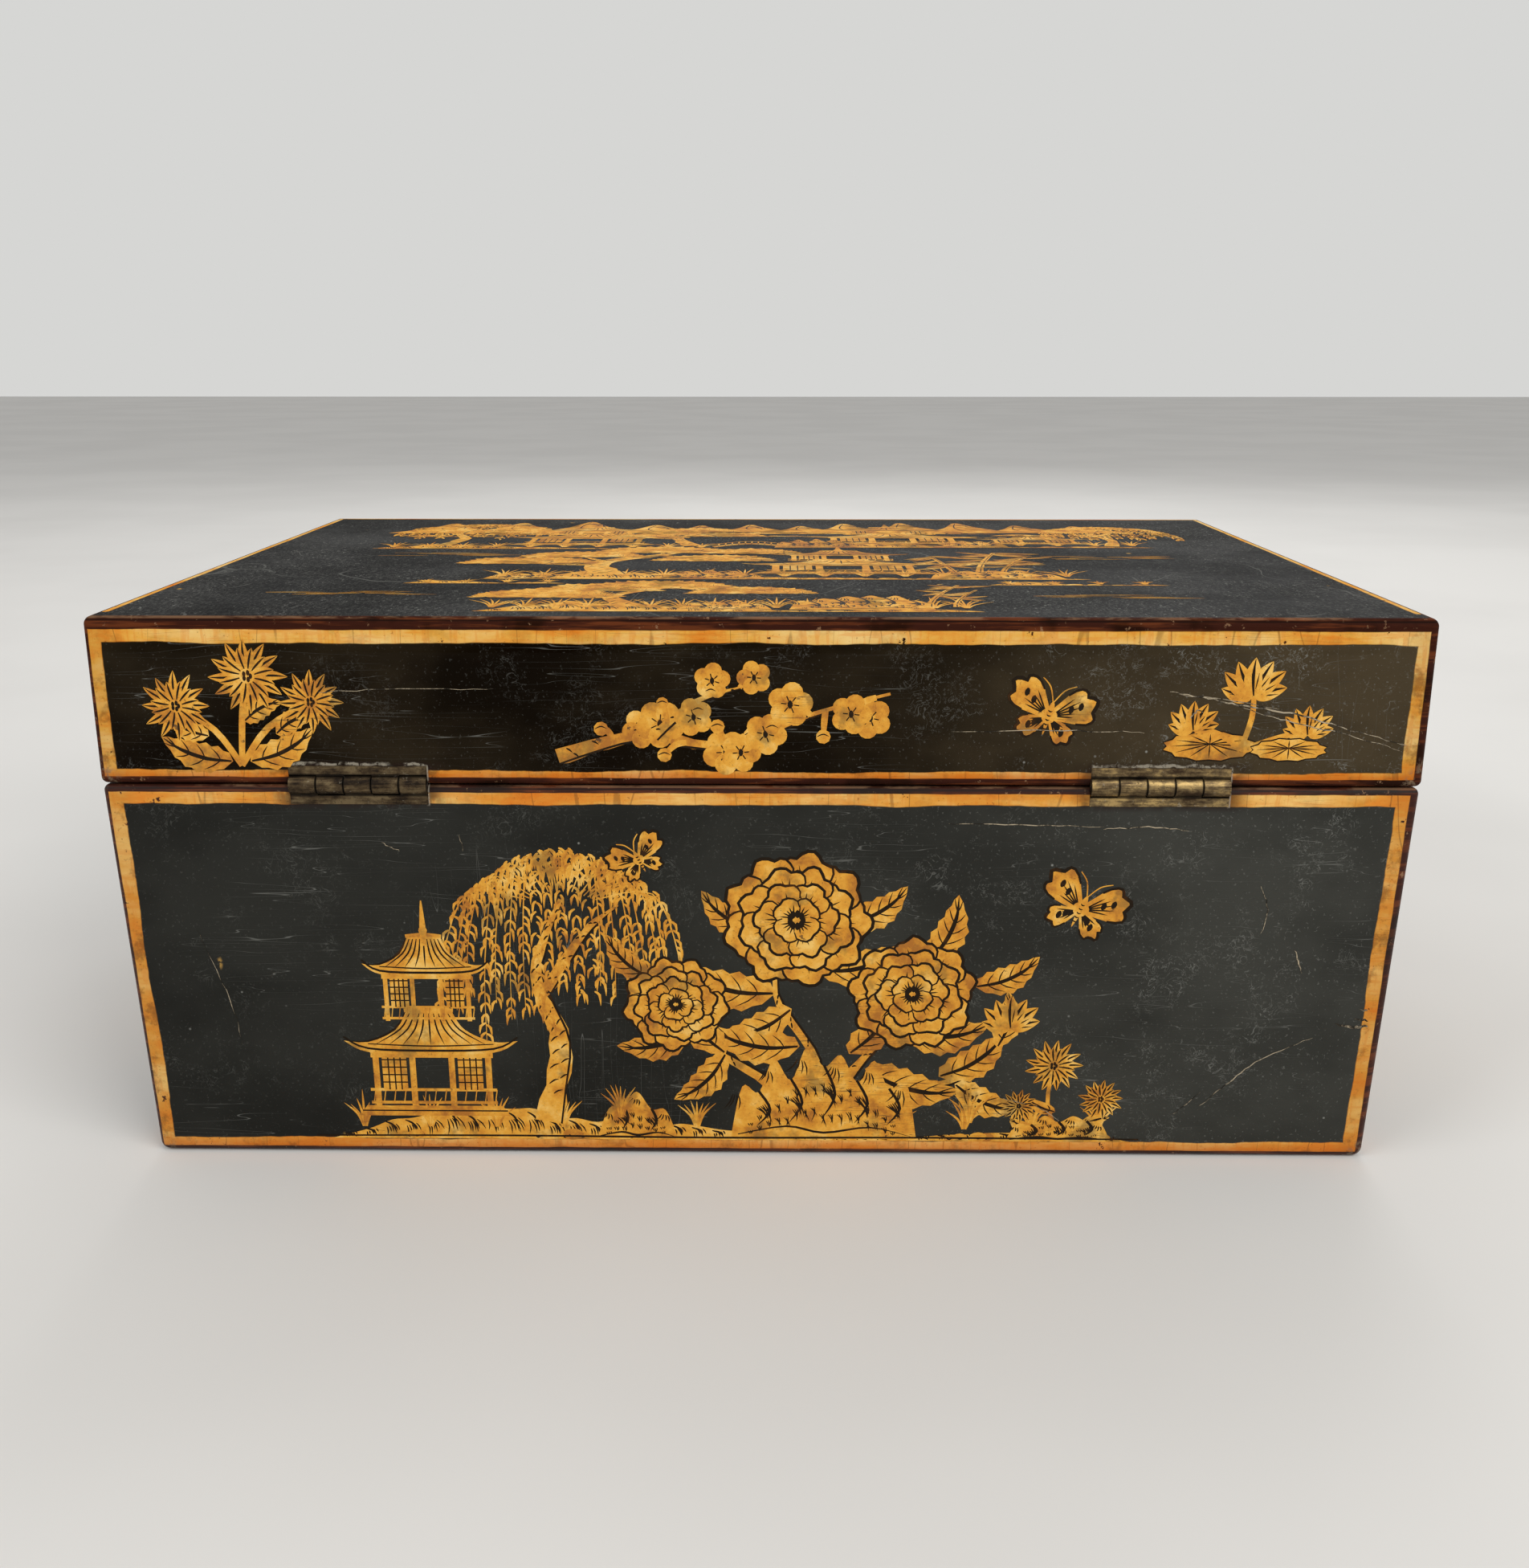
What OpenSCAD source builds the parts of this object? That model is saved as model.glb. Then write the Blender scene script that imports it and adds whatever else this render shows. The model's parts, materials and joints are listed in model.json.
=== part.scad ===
// Jewelry box: a japanned wooden case with a hinged lid, two brass butt hinges, a half-mortise
// box lock and a lift-out tray. Millimetres. The case stands on z = 0, its length lies along X,
// the hinged back faces -Y and the lock faces +Y. The origin is the centre of the underside.

/* [Case] */
// Length over the lid, along the hinged side
box_w = 305; // [240:1:380]
// Depth from the hinged back to the lock side
box_d = 207; // [170:1:260]
// Height of the body, from the table to the lid joint
body_h = 96; // [84:1:140]
// Height of the lid
lid_h = 39; // [30:1:60]
// How far each body wall leans in between the lid joint and the foot
wall_lean = 2.2; // [0:0.1:4]
// Thickness of the body walls and of the lid rails
wall_t = 10; // [10:0.5:14]
// How far each end of the lid stands past the body
lid_overhang = 0.3; // [0:0.1:1]
// Thickness of the lid's top board
lid_top_t = 8; // [5:0.5:12]
// Thickness of the bottom board
bottom_t = 6; // [4:0.5:10]
// How far the bottom board is let into the walls
bottom_rebate = 4; // [2:0.5:6]

/* [Rubbed edges] */
// Radius along the lid's top edges
top_edge_r = 2; // [1:0.25:4]
// Radius along the foot of the body
foot_edge_r = 2.5; // [1:0.25:4]
// Radius along the two edges that meet at the lid joint
joint_edge_r = 1.5; // [0.5:0.25:2]

/* [Hinges] */
// Length of each hinge
hinge_len = 32; // [24:1:50]
// Distance from the end of the lid to the middle of the nearer hinge
hinge_inset = 60; // [40:1:80]
// Outside diameter of the hinge barrel
barrel_d = 4.8; // [4:0.2:6]
// Number of knuckles in a barrel
knuckles = 5; // [3:2:7]
// Distance of the hinge pin's axis inside the back face
axis_inset = 0.9; // [0.6:0.1:1.2]
// Diameter of the hinge pin
hinge_pin_d = 1.8; // [1.4:0.1:2.4]
// Thickness of the leaf that lies in the joint
leaf_t = 1.6; // [1.2:0.1:2.2]
// Reach of the leaf from the back face into the wall
leaf_reach = 8.5; // [7.5:0.25:9.5]
// Thickness of the leaf's flange in the back face
flange_t = 1.4; // [1:0.1:2]
// Height of the flange above or below the joint
flange_h = 4.6; // [4:0.1:7]

/* [Screws] */
// Head diameter of the hinge and lock screws
screw_head_d = 3.4; // [3:0.1:4]
// Shank diameter of the screws
screw_d = 1.8; // [1.4:0.1:2.2]
// Length of the hinge screws
hinge_screw_len = 9; // [6:1:14]
// Length of the lock screws
lock_screw_len = 6; // [4:0.5:6.5]
// Width of the slot in a screw head
screw_slot_w = 0.5; // [0.3:0.1:0.8]
// Distance between neighbouring screws in a hinge leaf
hinge_screw_pitch = 10.5; // [7:0.5:12]
// Distance of the hinge screws from the back face
hinge_screw_row = 5.7; // [5.4:0.1:6.2]

/* [Lock] */
// Length of the lock's plates
lock_plate_w = 60; // [56:1:80]
// Length of the lock's case between the screws
lock_case_w = 46; // [44:1:48]
// Height of the lock, down from the lid joint
lock_h = 30; // [29:0.5:36]
// Thickness of the lock's plates
lock_plate_t = 1.2; // [1:0.1:1.5]
// Depth of the lock from the inside of the wall, with its cap
lock_depth = 7.6; // [7.4:0.1:8]
// Thickness of the lock's cap
lock_cap_t = 0.8; // [0.6:0.1:1]
// Distance between the two loops of the link plate
loop_pitch = 20; // [18:0.5:22]
// Width of a loop, across the wall
loop_w = 4.6; // [4.2:0.1:5]
// Thickness of a loop, along the wall
loop_t = 1.6; // [1.2:0.1:2]
// Length of a loop below the lid
loop_drop = 10.8; // [10:0.1:12]
// Width of the eye in a loop
eye_w = 2.6; // [2.4:0.1:2.8]
// Height of the eye in a loop
eye_h = 3.4; // [3:0.1:4]
// Metal left under the eye of a loop
loop_foot = 1.2; // [1:0.1:1.6]
// Travel of the lock bolt
bolt_travel = 4.6; // [4:0.1:5]
// Width of the bolt's stems, along the wall
stem_w = 3; // [2:0.1:3.5]
// Height of the bolt's sliding bar
bolt_bar_h = 5.5; // [4:0.1:6]
// Radius of the notch in the bar that the key's bit turns in
talon_r = 2.4; // [1.5:0.1:3]
// Height of the keyhole's centre below the lid joint
keyhole_drop = 21.5; // [20.5:0.1:22.5]
// Diameter of the round part of the keyhole
keyhole_d = 4.4; // [3.6:0.1:5]
// Width of the keyhole's slot
keyhole_slot_w = 2.2; // [1.6:0.1:2.6]
// Length of the keyhole's slot, from the centre of its round part
keyhole_slot_l = 5; // [4:0.1:5.5]
// Width of the brass rim round the keyhole
escutcheon_rim = 1.1; // [0.6:0.1:1.6]
// Depth of the brass rim in the wall
escutcheon_t = 1.2; // [0.8:0.1:1.4]
// Diameter of the post that the key turns on
key_post_d = 1.6; // [1.2:0.1:2]

/* [Tray] */
// Height of the lift-out tray
tray_h = 32; // [24:1:44]
// Depth of the tray's top below the lid joint
tray_drop = 3; // [2:0.5:8]
// Thickness of the tray's sides
tray_side_t = 4; // [3:0.5:6]
// Thickness of the tray's bottom
tray_bottom_t = 3; // [2:0.5:4]
// Thickness of the dividers
divider_t = 3; // [2:0.5:4]
// How far the dividers stop below the tray's top
divider_drop = 5; // [2:0.5:10]
// Clear depth of the tray's front row of compartments
front_row_d = 62; // [45:1:75]
// Clear width of the tray's middle compartments
middle_col_w = 92; // [70:1:120]
// Thickness of the bearers that carry the tray
bearer_t = 5; // [4:0.5:8]
// Height of the bearers
bearer_h = 12; // [8:0.5:20]
// Width of the ribbon pull at each end of the tray
pull_w = 12; // [8:0.5:16]
// Thickness of the ribbon pulls
pull_t = 1; // [0.6:0.1:1.5]
// How far the pulls stand above the tray
pull_rise = 5; // [3:0.5:8]
// Length of the pulls below the tray's top
pull_tail = 15; // [10:0.5:18]

/* [Linings] */
// Number of ring rolls in the middle back compartment
ring_rolls = 8; // [5:1:9]
// Thickness of the pads in the other compartments
tray_pad_t = 1.6; // [1:0.1:3]
// Thickness of the pad on the floor of the body
floor_pad_t = 2.5; // [1.5:0.1:4]
// Thickness of the padded panel inside the lid
lid_pad_t = 4; // [2:0.5:6]
// Radius round the edges of the pads
pad_edge_r = 0.7; // [0.3:0.05:0.7]

/* [Clearances] */
// Gap between the closed lid and the body
joint_gap = 0.3; // [0.2:0.05:0.5]
// Radial clearance of the hinge pin in the knuckles
pin_clear = 0.05; // [0.02:0.01:0.1]
// Radial clearance round the hinge barrel
barrel_clear = 0.2; // [0.15:0.05:0.4]
// Gap between neighbouring knuckles
knuckle_gap = 0.2; // [0.1:0.05:0.4]
// Clearance between brass and the wood that it is let into
seat_clear = 0.05; // [0.02:0.01:0.15]
// Radial clearance round the screws
screw_clear = 0.05; // [0.02:0.01:0.1]
// Clearance of the moving parts inside the lock
lock_clear = 0.3; // [0.2:0.05:0.4]
// Clearance between the tray and the body walls
tray_clear = 0.8; // [0.5:0.1:1.5]
// Gap under the tray where it sits on the bearers
bearer_clear = 0.1; // [0.05:0.05:0.3]
// Gap round the pads and the ribbon pulls
pad_clear = 0.2; // [0.1:0.05:0.4]

/* [Hidden] */

$fn = 48;
edge_fn = 32;
pad_fn = 12;
past = 1;                                    // how far a cutter runs past the face it cuts

JAPAN = [0.16, 0.15, 0.13];
DEAL = [0.62, 0.47, 0.30];
BRASS = [0.46, 0.40, 0.26];
STEEL = [0.42, 0.41, 0.40];
CRIMSON = [0.45, 0.10, 0.13];
RIBBON = [0.60, 0.20, 0.20];

body_w = box_w - 2 * lid_overhang;           // length of the body at the lid joint
lid_z = body_h + joint_gap;                  // underside of the lid
top_z = lid_z + lid_h;                       // top of the lid
hollow_z = top_z - lid_top_t;                // underside of the lid's top board
lean_h = body_h - joint_edge_r - foot_edge_r; // height of the walls' flat faces
lean_a = atan(wall_lean / lean_h);           // angle of the body walls

hinge_x = box_w / 2 - hinge_inset;           // middle of each hinge
hinge_y = -box_d / 2 + axis_inset;           // hinge axis
hinge_z = body_h + joint_gap / 2;
knuckle_l = hinge_len / knuckles;
barrel_r = barrel_d / 2;

lock_y = box_d / 2 - wall_t;                 // inside of the front wall, at the lid joint
lock_screw_x = (lock_plate_w + lock_case_w) / 4;
lock_screw_y = lock_depth / 2;
lock_mid_y = (lock_plate_t + lock_depth - lock_cap_t) / 2;
lock_room_d = lock_depth - lock_cap_t - lock_plate_t;
lock_screw_drop = lock_h * 2 / 3;
loop_low = joint_gap - loop_drop;            // foot of a loop, from the lid joint
eye_low = loop_low + loop_foot;
finger_w = eye_w - 2 * lock_clear - 0.2;     // less a little more, to pass the round of the eye
finger_h = eye_h - 4 * lock_clear;
finger_z = eye_low + eye_h - lock_clear - finger_h;
bar_top = loop_low - 2 * lock_clear;
bar_low = bar_top - bolt_bar_h;
finger_tip = -loop_t / 2 - 2 * lock_clear;   // tip of a withdrawn finger, from its loop
finger_l = bolt_travel + 3 * lock_clear;     // so that a thrown bolt's stem stops short of its loop

tray_z = body_h - tray_drop - tray_h;        // underside of the tray
tray_w = 2 * (inner_half(body_w, tray_z) - tray_clear);
tray_d = 2 * (inner_half(box_d, tray_z) - tray_clear);
tray_in_w = tray_w - 2 * tray_side_t;
tray_in_d = tray_d - 2 * tray_side_t;
tray_floor = tray_z + tray_bottom_t;
tray_top = tray_z + tray_h;
divider_h = tray_h - tray_bottom_t - divider_drop;
long_divider_y = tray_in_d / 2 - front_row_d - divider_t / 2;
cross_divider_x = (middle_col_w + divider_t) / 2;
back_row_d = tray_in_d - front_row_d - divider_t;
COLUMNS = [
    [-tray_in_w / 2, -middle_col_w / 2 - divider_t],
    [-middle_col_w / 2, middle_col_w / 2],
    [middle_col_w / 2 + divider_t, tray_in_w / 2]
];
ROWS = [
    [-tray_in_d / 2, long_divider_y - divider_t / 2],
    [long_divider_y + divider_t / 2, tray_in_d / 2]
];

// Half of the clear size between two body walls at height z, for an outside size at the joint.
function inner_half(size, z) = size / 2 - wall_t - wall_lean * (1 - z / body_h);

// ---------------------------------------------------------------- shared forms

// A closed block with rounded edges whose foot is smaller by lean on every side.
module rounded_form(w, d, h, r_low, r_high, lean, fn = edge_fn) {
    low_w = w / 2 - lean - r_low;
    low_d = d / 2 - lean - r_low;
    high_w = w / 2 - r_high;
    high_d = d / 2 - r_high;
    hull() {
        for (x = [-1, 1], y = [-1, 1]) {
            translate([x * low_w, y * low_d, r_low]) sphere(r_low, $fn = fn);
            translate([x * high_w, y * high_d, h - r_high]) sphere(r_high, $fn = fn);
        }
        translate([-low_w, -low_d, 0]) cube([2 * low_w, 2 * low_d, r_low]);
        translate([-high_w, -high_d, h - r_high]) cube([2 * high_w, 2 * high_d, r_high]);
    }
}

// The part of a frame that one board takes, cut by the two mitres at its ends. The board lies at
// -Y, along is the frame's size along it and across is its size the other way.
module mitre_wedge(along, across, depth, z_low, z_high) {
    translate([0, 0, z_low]) linear_extrude(z_high - z_low) polygon([
        [-along / 2 - past, -across / 2 - past],
        [along / 2 + past, -across / 2 - past],
        [along / 2 - depth, -across / 2 + depth],
        [-along / 2 + depth, -across / 2 + depth]
    ]);
}

// The inside of the body between two heights, with its leaning walls.
module body_inside(z_low, z_high) {
    low_w = 2 * inner_half(body_w, z_low);
    low_d = 2 * inner_half(box_d, z_low);
    high_w = 2 * inner_half(body_w, z_high);
    high_d = 2 * inner_half(box_d, z_high);
    translate([0, 0, z_low])
        linear_extrude(z_high - z_low, scale = [high_w / low_w, high_d / low_d], slices = 1)
            square([low_w, low_d], center = true);
}

// A strip of height h and thickness t with a half-round top, length long, centred on X and Y.
module round_top_strip(long, t, h) {
    translate([-long / 2, 0, 0]) rotate([90, 0, 90]) linear_extrude(long) {
        translate([-t / 2, 0]) square([t, h - t / 2]);
        translate([0, h - t / 2]) circle(d = t);
    }
}

// A countersunk wood screw pointing down, with its head's face at z = 0.
module wood_screw(length) {
    sink = (screw_head_d - screw_d) / 2;
    difference() {
        union() {
            translate([0, 0, -sink]) cylinder(d1 = screw_d, d2 = screw_head_d, h = sink);
            translate([0, 0, -length + screw_d]) cylinder(d = screw_d, h = length - screw_d);
            translate([0, 0, -length]) cylinder(d1 = screw_d / 4, d2 = screw_d, h = screw_d);
        }
        translate([-screw_head_d, -screw_slot_w / 2, -sink / 2])
            cube([2 * screw_head_d, screw_slot_w, sink]);
    }
}

// The hole for that screw: countersunk where the plate is, and a pilot hole below.
module wood_screw_hole(length) {
    sink = (screw_head_d - screw_d) / 2;
    d = screw_d + 2 * screw_clear;
    head = screw_head_d + 2 * screw_clear;
    translate([0, 0, -sink]) cylinder(d1 = d, d2 = head, h = sink);
    cylinder(d = head, h = past);
    translate([0, 0, -length - screw_clear]) cylinder(d = d, h = length);
}

// ---------------------------------------------------------------- body

module body_shell() {
    rebate_w = 2 * (inner_half(body_w, 0) + bottom_rebate);
    rebate_d = 2 * (inner_half(box_d, 0) + bottom_rebate);
    difference() {
        rounded_form(body_w, box_d, body_h, foot_edge_r, joint_edge_r, wall_lean);
        body_inside(-past, body_h + past);
        translate([0, 0, bottom_t / 2 - past / 2])
            cube([rebate_w, rebate_d, bottom_t + past], center = true);
    }
}

module body_board(turn, along, across) {
    intersection() {
        body_shell();
        rotate([0, 0, turn])
            mitre_wedge(along, across, wall_t + wall_lean + past, -past, body_h + past);
    }
}

module body_back_board() {
    color(JAPAN) difference() {
        body_board(0, body_w, box_d);
        for (side = [-1, 1]) at_hinge(side) mirror([0, 0, 1]) hinge_mortise();
        for_each_hinge_screw() translate([0, 0, body_h]) wood_screw_hole(hinge_screw_len);
    }
}

module body_front_board() {
    color(JAPAN) difference() {
        body_board(180, body_w, box_d);
        lock_mortise();
        for_each_lock_screw() wood_screw_hole(lock_screw_len);
        on_front() {
            escutcheon_blank(seat_clear, escutcheon_t + seat_clear);
            keyhole(wall_t);
        }
    }
}

module body_left_board() {
    color(JAPAN) body_board(-90, box_d, body_w);
}

module body_right_board() {
    color(JAPAN) body_board(90, box_d, body_w);
}

module bottom_board() {
    w = 2 * (inner_half(body_w, 0) + bottom_rebate - seat_clear);
    d = 2 * (inner_half(box_d, 0) + bottom_rebate - seat_clear);
    color(DEAL) translate([-w / 2, -d / 2, 0]) cube([w, d, bottom_t]);
}

// A strip on an end wall that the tray sits on. It follows the wall's lean.
module tray_bearer(side) {
    high = tray_z - bearer_clear;
    inside_x = inner_half(body_w, high) - bearer_t;
    color(DEAL) intersection() {
        body_inside(high - bearer_h, high);
        translate([side * (inside_x + box_w / 2), 0, body_h / 2])
            cube([box_w, box_d, 2 * body_h], center = true);
    }
}

module left_tray_bearer() {
    tray_bearer(-1);
}

module right_tray_bearer() {
    tray_bearer(1);
}

module floor_pad() {
    w = 2 * (inner_half(body_w, bottom_t) - pad_clear);
    d = 2 * (inner_half(box_d, bottom_t) - pad_clear);
    color(CRIMSON) translate([0, 0, bottom_t + pad_clear / 2])
        rounded_form(w, d, floor_pad_t, pad_edge_r, pad_edge_r, 0, pad_fn);
}

// ---------------------------------------------------------------- lid

module lid_form() {
    translate([0, 0, lid_z]) rounded_form(box_w, box_d, lid_h, joint_edge_r, top_edge_r, 0);
}

module lid_rail(turn, along, across) {
    intersection() {
        difference() {
            lid_form();
            translate([-box_w / 2 + wall_t, -box_d / 2 + wall_t, lid_z - past])
                cube([box_w - 2 * wall_t, box_d - 2 * wall_t, lid_h + 2 * past]);
        }
        rotate([0, 0, turn]) mitre_wedge(along, across, wall_t + past, lid_z - past, hollow_z);
    }
}

module lid_back_rail() {
    color(JAPAN) difference() {
        lid_rail(0, box_w, box_d);
        for (side = [-1, 1]) at_hinge(side) hinge_mortise();
        for_each_hinge_screw() translate([0, 0, lid_z]) rotate([180, 0, 0])
            wood_screw_hole(hinge_screw_len);
    }
}

module lid_front_rail() {
    color(JAPAN) difference() {
        lid_rail(180, box_w, box_d);
        link_plate_blank(seat_clear, lock_plate_t + seat_clear);
        for_each_link_screw() wood_screw_hole(lock_screw_len);
    }
}

module lid_left_rail() {
    color(JAPAN) lid_rail(-90, box_d, box_w);
}

module lid_right_rail() {
    color(JAPAN) lid_rail(90, box_d, box_w);
}

module lid_top_board() {
    color(JAPAN) intersection() {
        lid_form();
        translate([-box_w / 2 - past, -box_d / 2 - past, hollow_z])
            cube([box_w + 2 * past, box_d + 2 * past, lid_top_t + past]);
    }
}

module lid_pad() {
    w = box_w - 2 * (wall_t + pad_clear);
    d = box_d - 2 * (wall_t + pad_clear);
    color(CRIMSON) translate([0, 0, hollow_z - lid_pad_t - pad_clear / 2])
        rounded_form(w, d, lid_pad_t, pad_edge_r, pad_edge_r, 0, pad_fn);
}

// ---------------------------------------------------------------- hinges

// Puts a hinge's own frame in place: X along the pin, the box towards +Y, the lid above z = 0.
module at_hinge(side) {
    translate([side * hinge_x, hinge_y, hinge_z]) children();
}

// A length of barrel in one knuckle's place, longer by grow at each end.
module barrel_piece(k, r, grow) {
    long = knuckle_l - knuckle_gap + 2 * grow;
    translate([-hinge_len / 2 + k * knuckle_l + knuckle_gap / 2 - grow, 0, 0])
        rotate([0, 90, 0]) cylinder(r = r, h = long);
}

// The leaf's plate in the joint and its flange in the back face, larger by grow where they sit
// in the wood, on the lid's side of the joint.
module leaf_blank(grow) {
    long = hinge_len + 2 * grow;
    translate([-long / 2, -axis_inset, joint_gap / 2 - min(grow, joint_gap / 4)])
        cube([long, leaf_reach + grow, leaf_t + grow + min(grow, joint_gap / 4)]);
    translate([-long / 2, -axis_inset, joint_gap / 2])
        cube([long, flange_t + grow, flange_h - joint_gap / 2 + grow]);
}

// One leaf with every second knuckle, starting from the one numbered own.
module hinge_leaf(own) {
    difference() {
        union() {
            leaf_blank(0);
            for (k = [own : 2 : knuckles - 1]) barrel_piece(k, barrel_r, 0);
        }
        for (k = [1 - own : 2 : knuckles - 1])
            barrel_piece(k, barrel_r + barrel_clear, knuckle_gap / 2);
        rotate([0, 90, 0])
            cylinder(d = hinge_pin_d + 2 * pin_clear, h = hinge_len + 2 * past, center = true);
        for (i = [-1 : 1])
            translate([i * hinge_screw_pitch, hinge_screw_row - axis_inset, joint_gap / 2])
                rotate([180, 0, 0]) wood_screw_hole(hinge_screw_len);
    }
}

// What is cut from the wood for one leaf and the barrel.
module hinge_mortise() {
    leaf_blank(seat_clear);
    translate([0, -past, 0]) leaf_blank(seat_clear);
    rotate([0, 90, 0])
        cylinder(r = barrel_r + barrel_clear, h = hinge_len + 2 * seat_clear, center = true);
}

module for_each_hinge_screw() {
    for (side = [-1, 1], i = [-1 : 1])
        translate([side * hinge_x + i * hinge_screw_pitch, -box_d / 2 + hinge_screw_row, 0])
            children();
}

// The left hinge has its outer knuckles on the body and the right hinge has them on the lid,
// as two hinges of one pair fitted end for end.
module left_hinge_body_leaf() {
    color(BRASS) at_hinge(-1) mirror([0, 0, 1]) hinge_leaf(0);
}

module left_hinge_lid_leaf() {
    color(BRASS) at_hinge(-1) hinge_leaf(1);
}

module right_hinge_body_leaf() {
    color(BRASS) at_hinge(1) mirror([0, 0, 1]) hinge_leaf(1);
}

module right_hinge_lid_leaf() {
    color(BRASS) at_hinge(1) hinge_leaf(0);
}

module hinge_pin() {
    rotate([0, 90, 0]) cylinder(d = hinge_pin_d, h = hinge_len - knuckle_gap, center = true);
}

module left_hinge_pin() {
    color(STEEL) at_hinge(-1) hinge_pin();
}

module right_hinge_pin() {
    color(STEEL) at_hinge(1) hinge_pin();
}

module hinge_body_screws() {
    color(BRASS) for_each_hinge_screw()
        translate([0, 0, body_h - screw_clear]) wood_screw(hinge_screw_len);
}

module hinge_lid_screws() {
    color(BRASS) for_each_hinge_screw()
        translate([0, 0, lid_z + screw_clear]) rotate([180, 0, 0]) wood_screw(hinge_screw_len);
}

// ---------------------------------------------------------------- lock

// The lock's own frame: the inside of the front wall at the joint, with the wall towards +Y.
module at_lock() {
    translate([0, lock_y, body_h]) children();
}

// A box in the lock's frame, centred on X, from y and z upwards.
module lock_block(w, y, d, z, h) {
    translate([-w / 2, y, z]) cube([w, d, h]);
}

module lock_mortise() {
    grow = 2 * seat_clear;
    lean = wall_lean + past;
    at_lock() {
        lock_block(lock_plate_w + grow, -lean, lean + lock_plate_t + grow / 2, -lock_h - grow / 2,
            lock_h + past);
        lock_block(lock_case_w + grow, 0, lock_depth + grow / 2, -lock_h - grow / 2, lock_h + past);
        lock_block(lock_plate_w + grow, 0, lock_depth + grow / 2, -lock_plate_t - grow / 2,
            lock_plate_t + past);
    }
}

// The two screws in the lock's top plate, then the two in its back plate.
module for_each_lock_screw() {
    at_lock() for (side = [-1, 1]) {
        translate([side * lock_screw_x, lock_screw_y, 0]) children();
        translate([side * lock_screw_x, 0, -lock_screw_drop]) rotate([90, 0, 0]) children();
    }
}

module for_each_link_screw() {
    translate([0, lock_y, lid_z]) for (side = [-1, 1])
        translate([side * lock_screw_x, lock_screw_y, 0]) rotate([180, 0, 0]) children();
}

// The case: a top plate with two slots for the loops, a back plate, three walls round the
// works, two guides under the bolt and the post that the key turns on.
module lock_case() {
    wall_h = lock_h - lock_plate_t;
    room_w = lock_case_w - 2 * lock_plate_t;
    guide_w = (room_w - 2 * talon_r - 4 * lock_plate_t) / 2;
    guide_h = lock_h - lock_plate_t + bar_low - lock_clear;
    color(BRASS) difference() {
        at_lock() {
            lock_block(lock_plate_w, 0, lock_depth, -lock_plate_t, lock_plate_t);
            lock_block(lock_plate_w, 0, lock_plate_t, -lock_h, lock_h);
            for (side = [-1, 1])
                translate([side * (lock_case_w - lock_plate_t) / 2, 0, 0])
                    lock_block(lock_plate_t, 0, lock_depth - lock_cap_t, -lock_h, lock_h);
            lock_block(lock_case_w, 0, lock_depth - lock_cap_t, -lock_h, lock_plate_t);
            for (side = [-1, 1])
                translate([side * (room_w - guide_w) / 2, 0, 0])
                    lock_block(guide_w, 0, lock_depth - lock_cap_t, -lock_h, guide_h + lock_plate_t);
            translate([0, 0, -keyhole_drop]) rotate([-90, 0, 0])
                cylinder(d = key_post_d, h = lock_depth - lock_cap_t);
        }
        at_lock() for (side = [-1, 1])
            translate([side * loop_pitch / 2, lock_mid_y - loop_w / 2 - lock_clear, 0])
                lock_block(loop_t + 2 * lock_clear, 0, loop_w + 2 * lock_clear, -lock_plate_t - past,
                    lock_plate_t + 2 * past);
        for_each_lock_screw() wood_screw_hole(lock_screw_len);
    }
}

module lock_cap() {
    color(BRASS) difference() {
        at_lock() lock_block(lock_case_w, lock_depth - lock_cap_t, lock_cap_t, -lock_h,
            lock_h - lock_plate_t);
        on_front() keyhole(wall_t);
    }
}

// The bolt: a bar that slides along X, with a stem and a finger for each loop. It is drawn
// withdrawn, with the fingers clear of the loops.
module lock_bolt() {
    bar_l = loop_pitch + stem_w + finger_l + stem_w;
    bar_d = lock_room_d - 2 * lock_clear;
    bar_x = -loop_pitch / 2 + finger_tip - finger_l - stem_w;
    color(STEEL) at_lock() difference() {
        union() {
            translate([bar_x, lock_mid_y - bar_d / 2, bar_low]) cube([bar_l, bar_d, bolt_bar_h]);
            for (side = [-1, 1]) translate([side * loop_pitch / 2 + finger_tip, lock_mid_y, 0]) {
                translate([-finger_l - stem_w, -finger_w / 2, bar_low])
                    cube([stem_w, finger_w, finger_z + finger_h - bar_low]);
                translate([-finger_l - stem_w, -finger_w / 2, finger_z])
                    cube([stem_w + finger_l, finger_w, finger_h]);
            }
        }
        translate([0, lock_mid_y, bar_low]) rotate([90, 0, 0])
            cylinder(r = talon_r, h = bar_d + 2 * past, center = true);
    }
}

module lock_screws() {
    color(BRASS) for_each_lock_screw()
        translate([0, 0, -screw_clear]) wood_screw(lock_screw_len);
}

// The link plate, larger by grow all round, on the underside of the lid's front rail.
module link_plate_blank(grow, t) {
    w = lock_plate_w + 2 * grow;
    translate([-w / 2, lock_y + seat_clear - grow, lid_z]) cube([w, lock_depth + grow, t]);
}

// A loop below the lid: a tongue with a round foot and an eye for the bolt's finger.
module link_loop() {
    foot = loop_drop - loop_w / 2;
    eye_top = loop_drop - loop_foot - eye_h;
    rotate([90, 0, 90]) translate([0, 0, -loop_t / 2]) linear_extrude(loop_t) difference() {
        union() {
            translate([-loop_w / 2, -foot]) square([loop_w, foot]);
            translate([0, -foot]) circle(d = loop_w);
        }
        translate([-eye_w / 2, -eye_top - eye_h + eye_w / 2]) square([eye_w, eye_h - eye_w / 2]);
        translate([0, -eye_top - eye_h + eye_w / 2]) circle(d = eye_w);
    }
}

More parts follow.
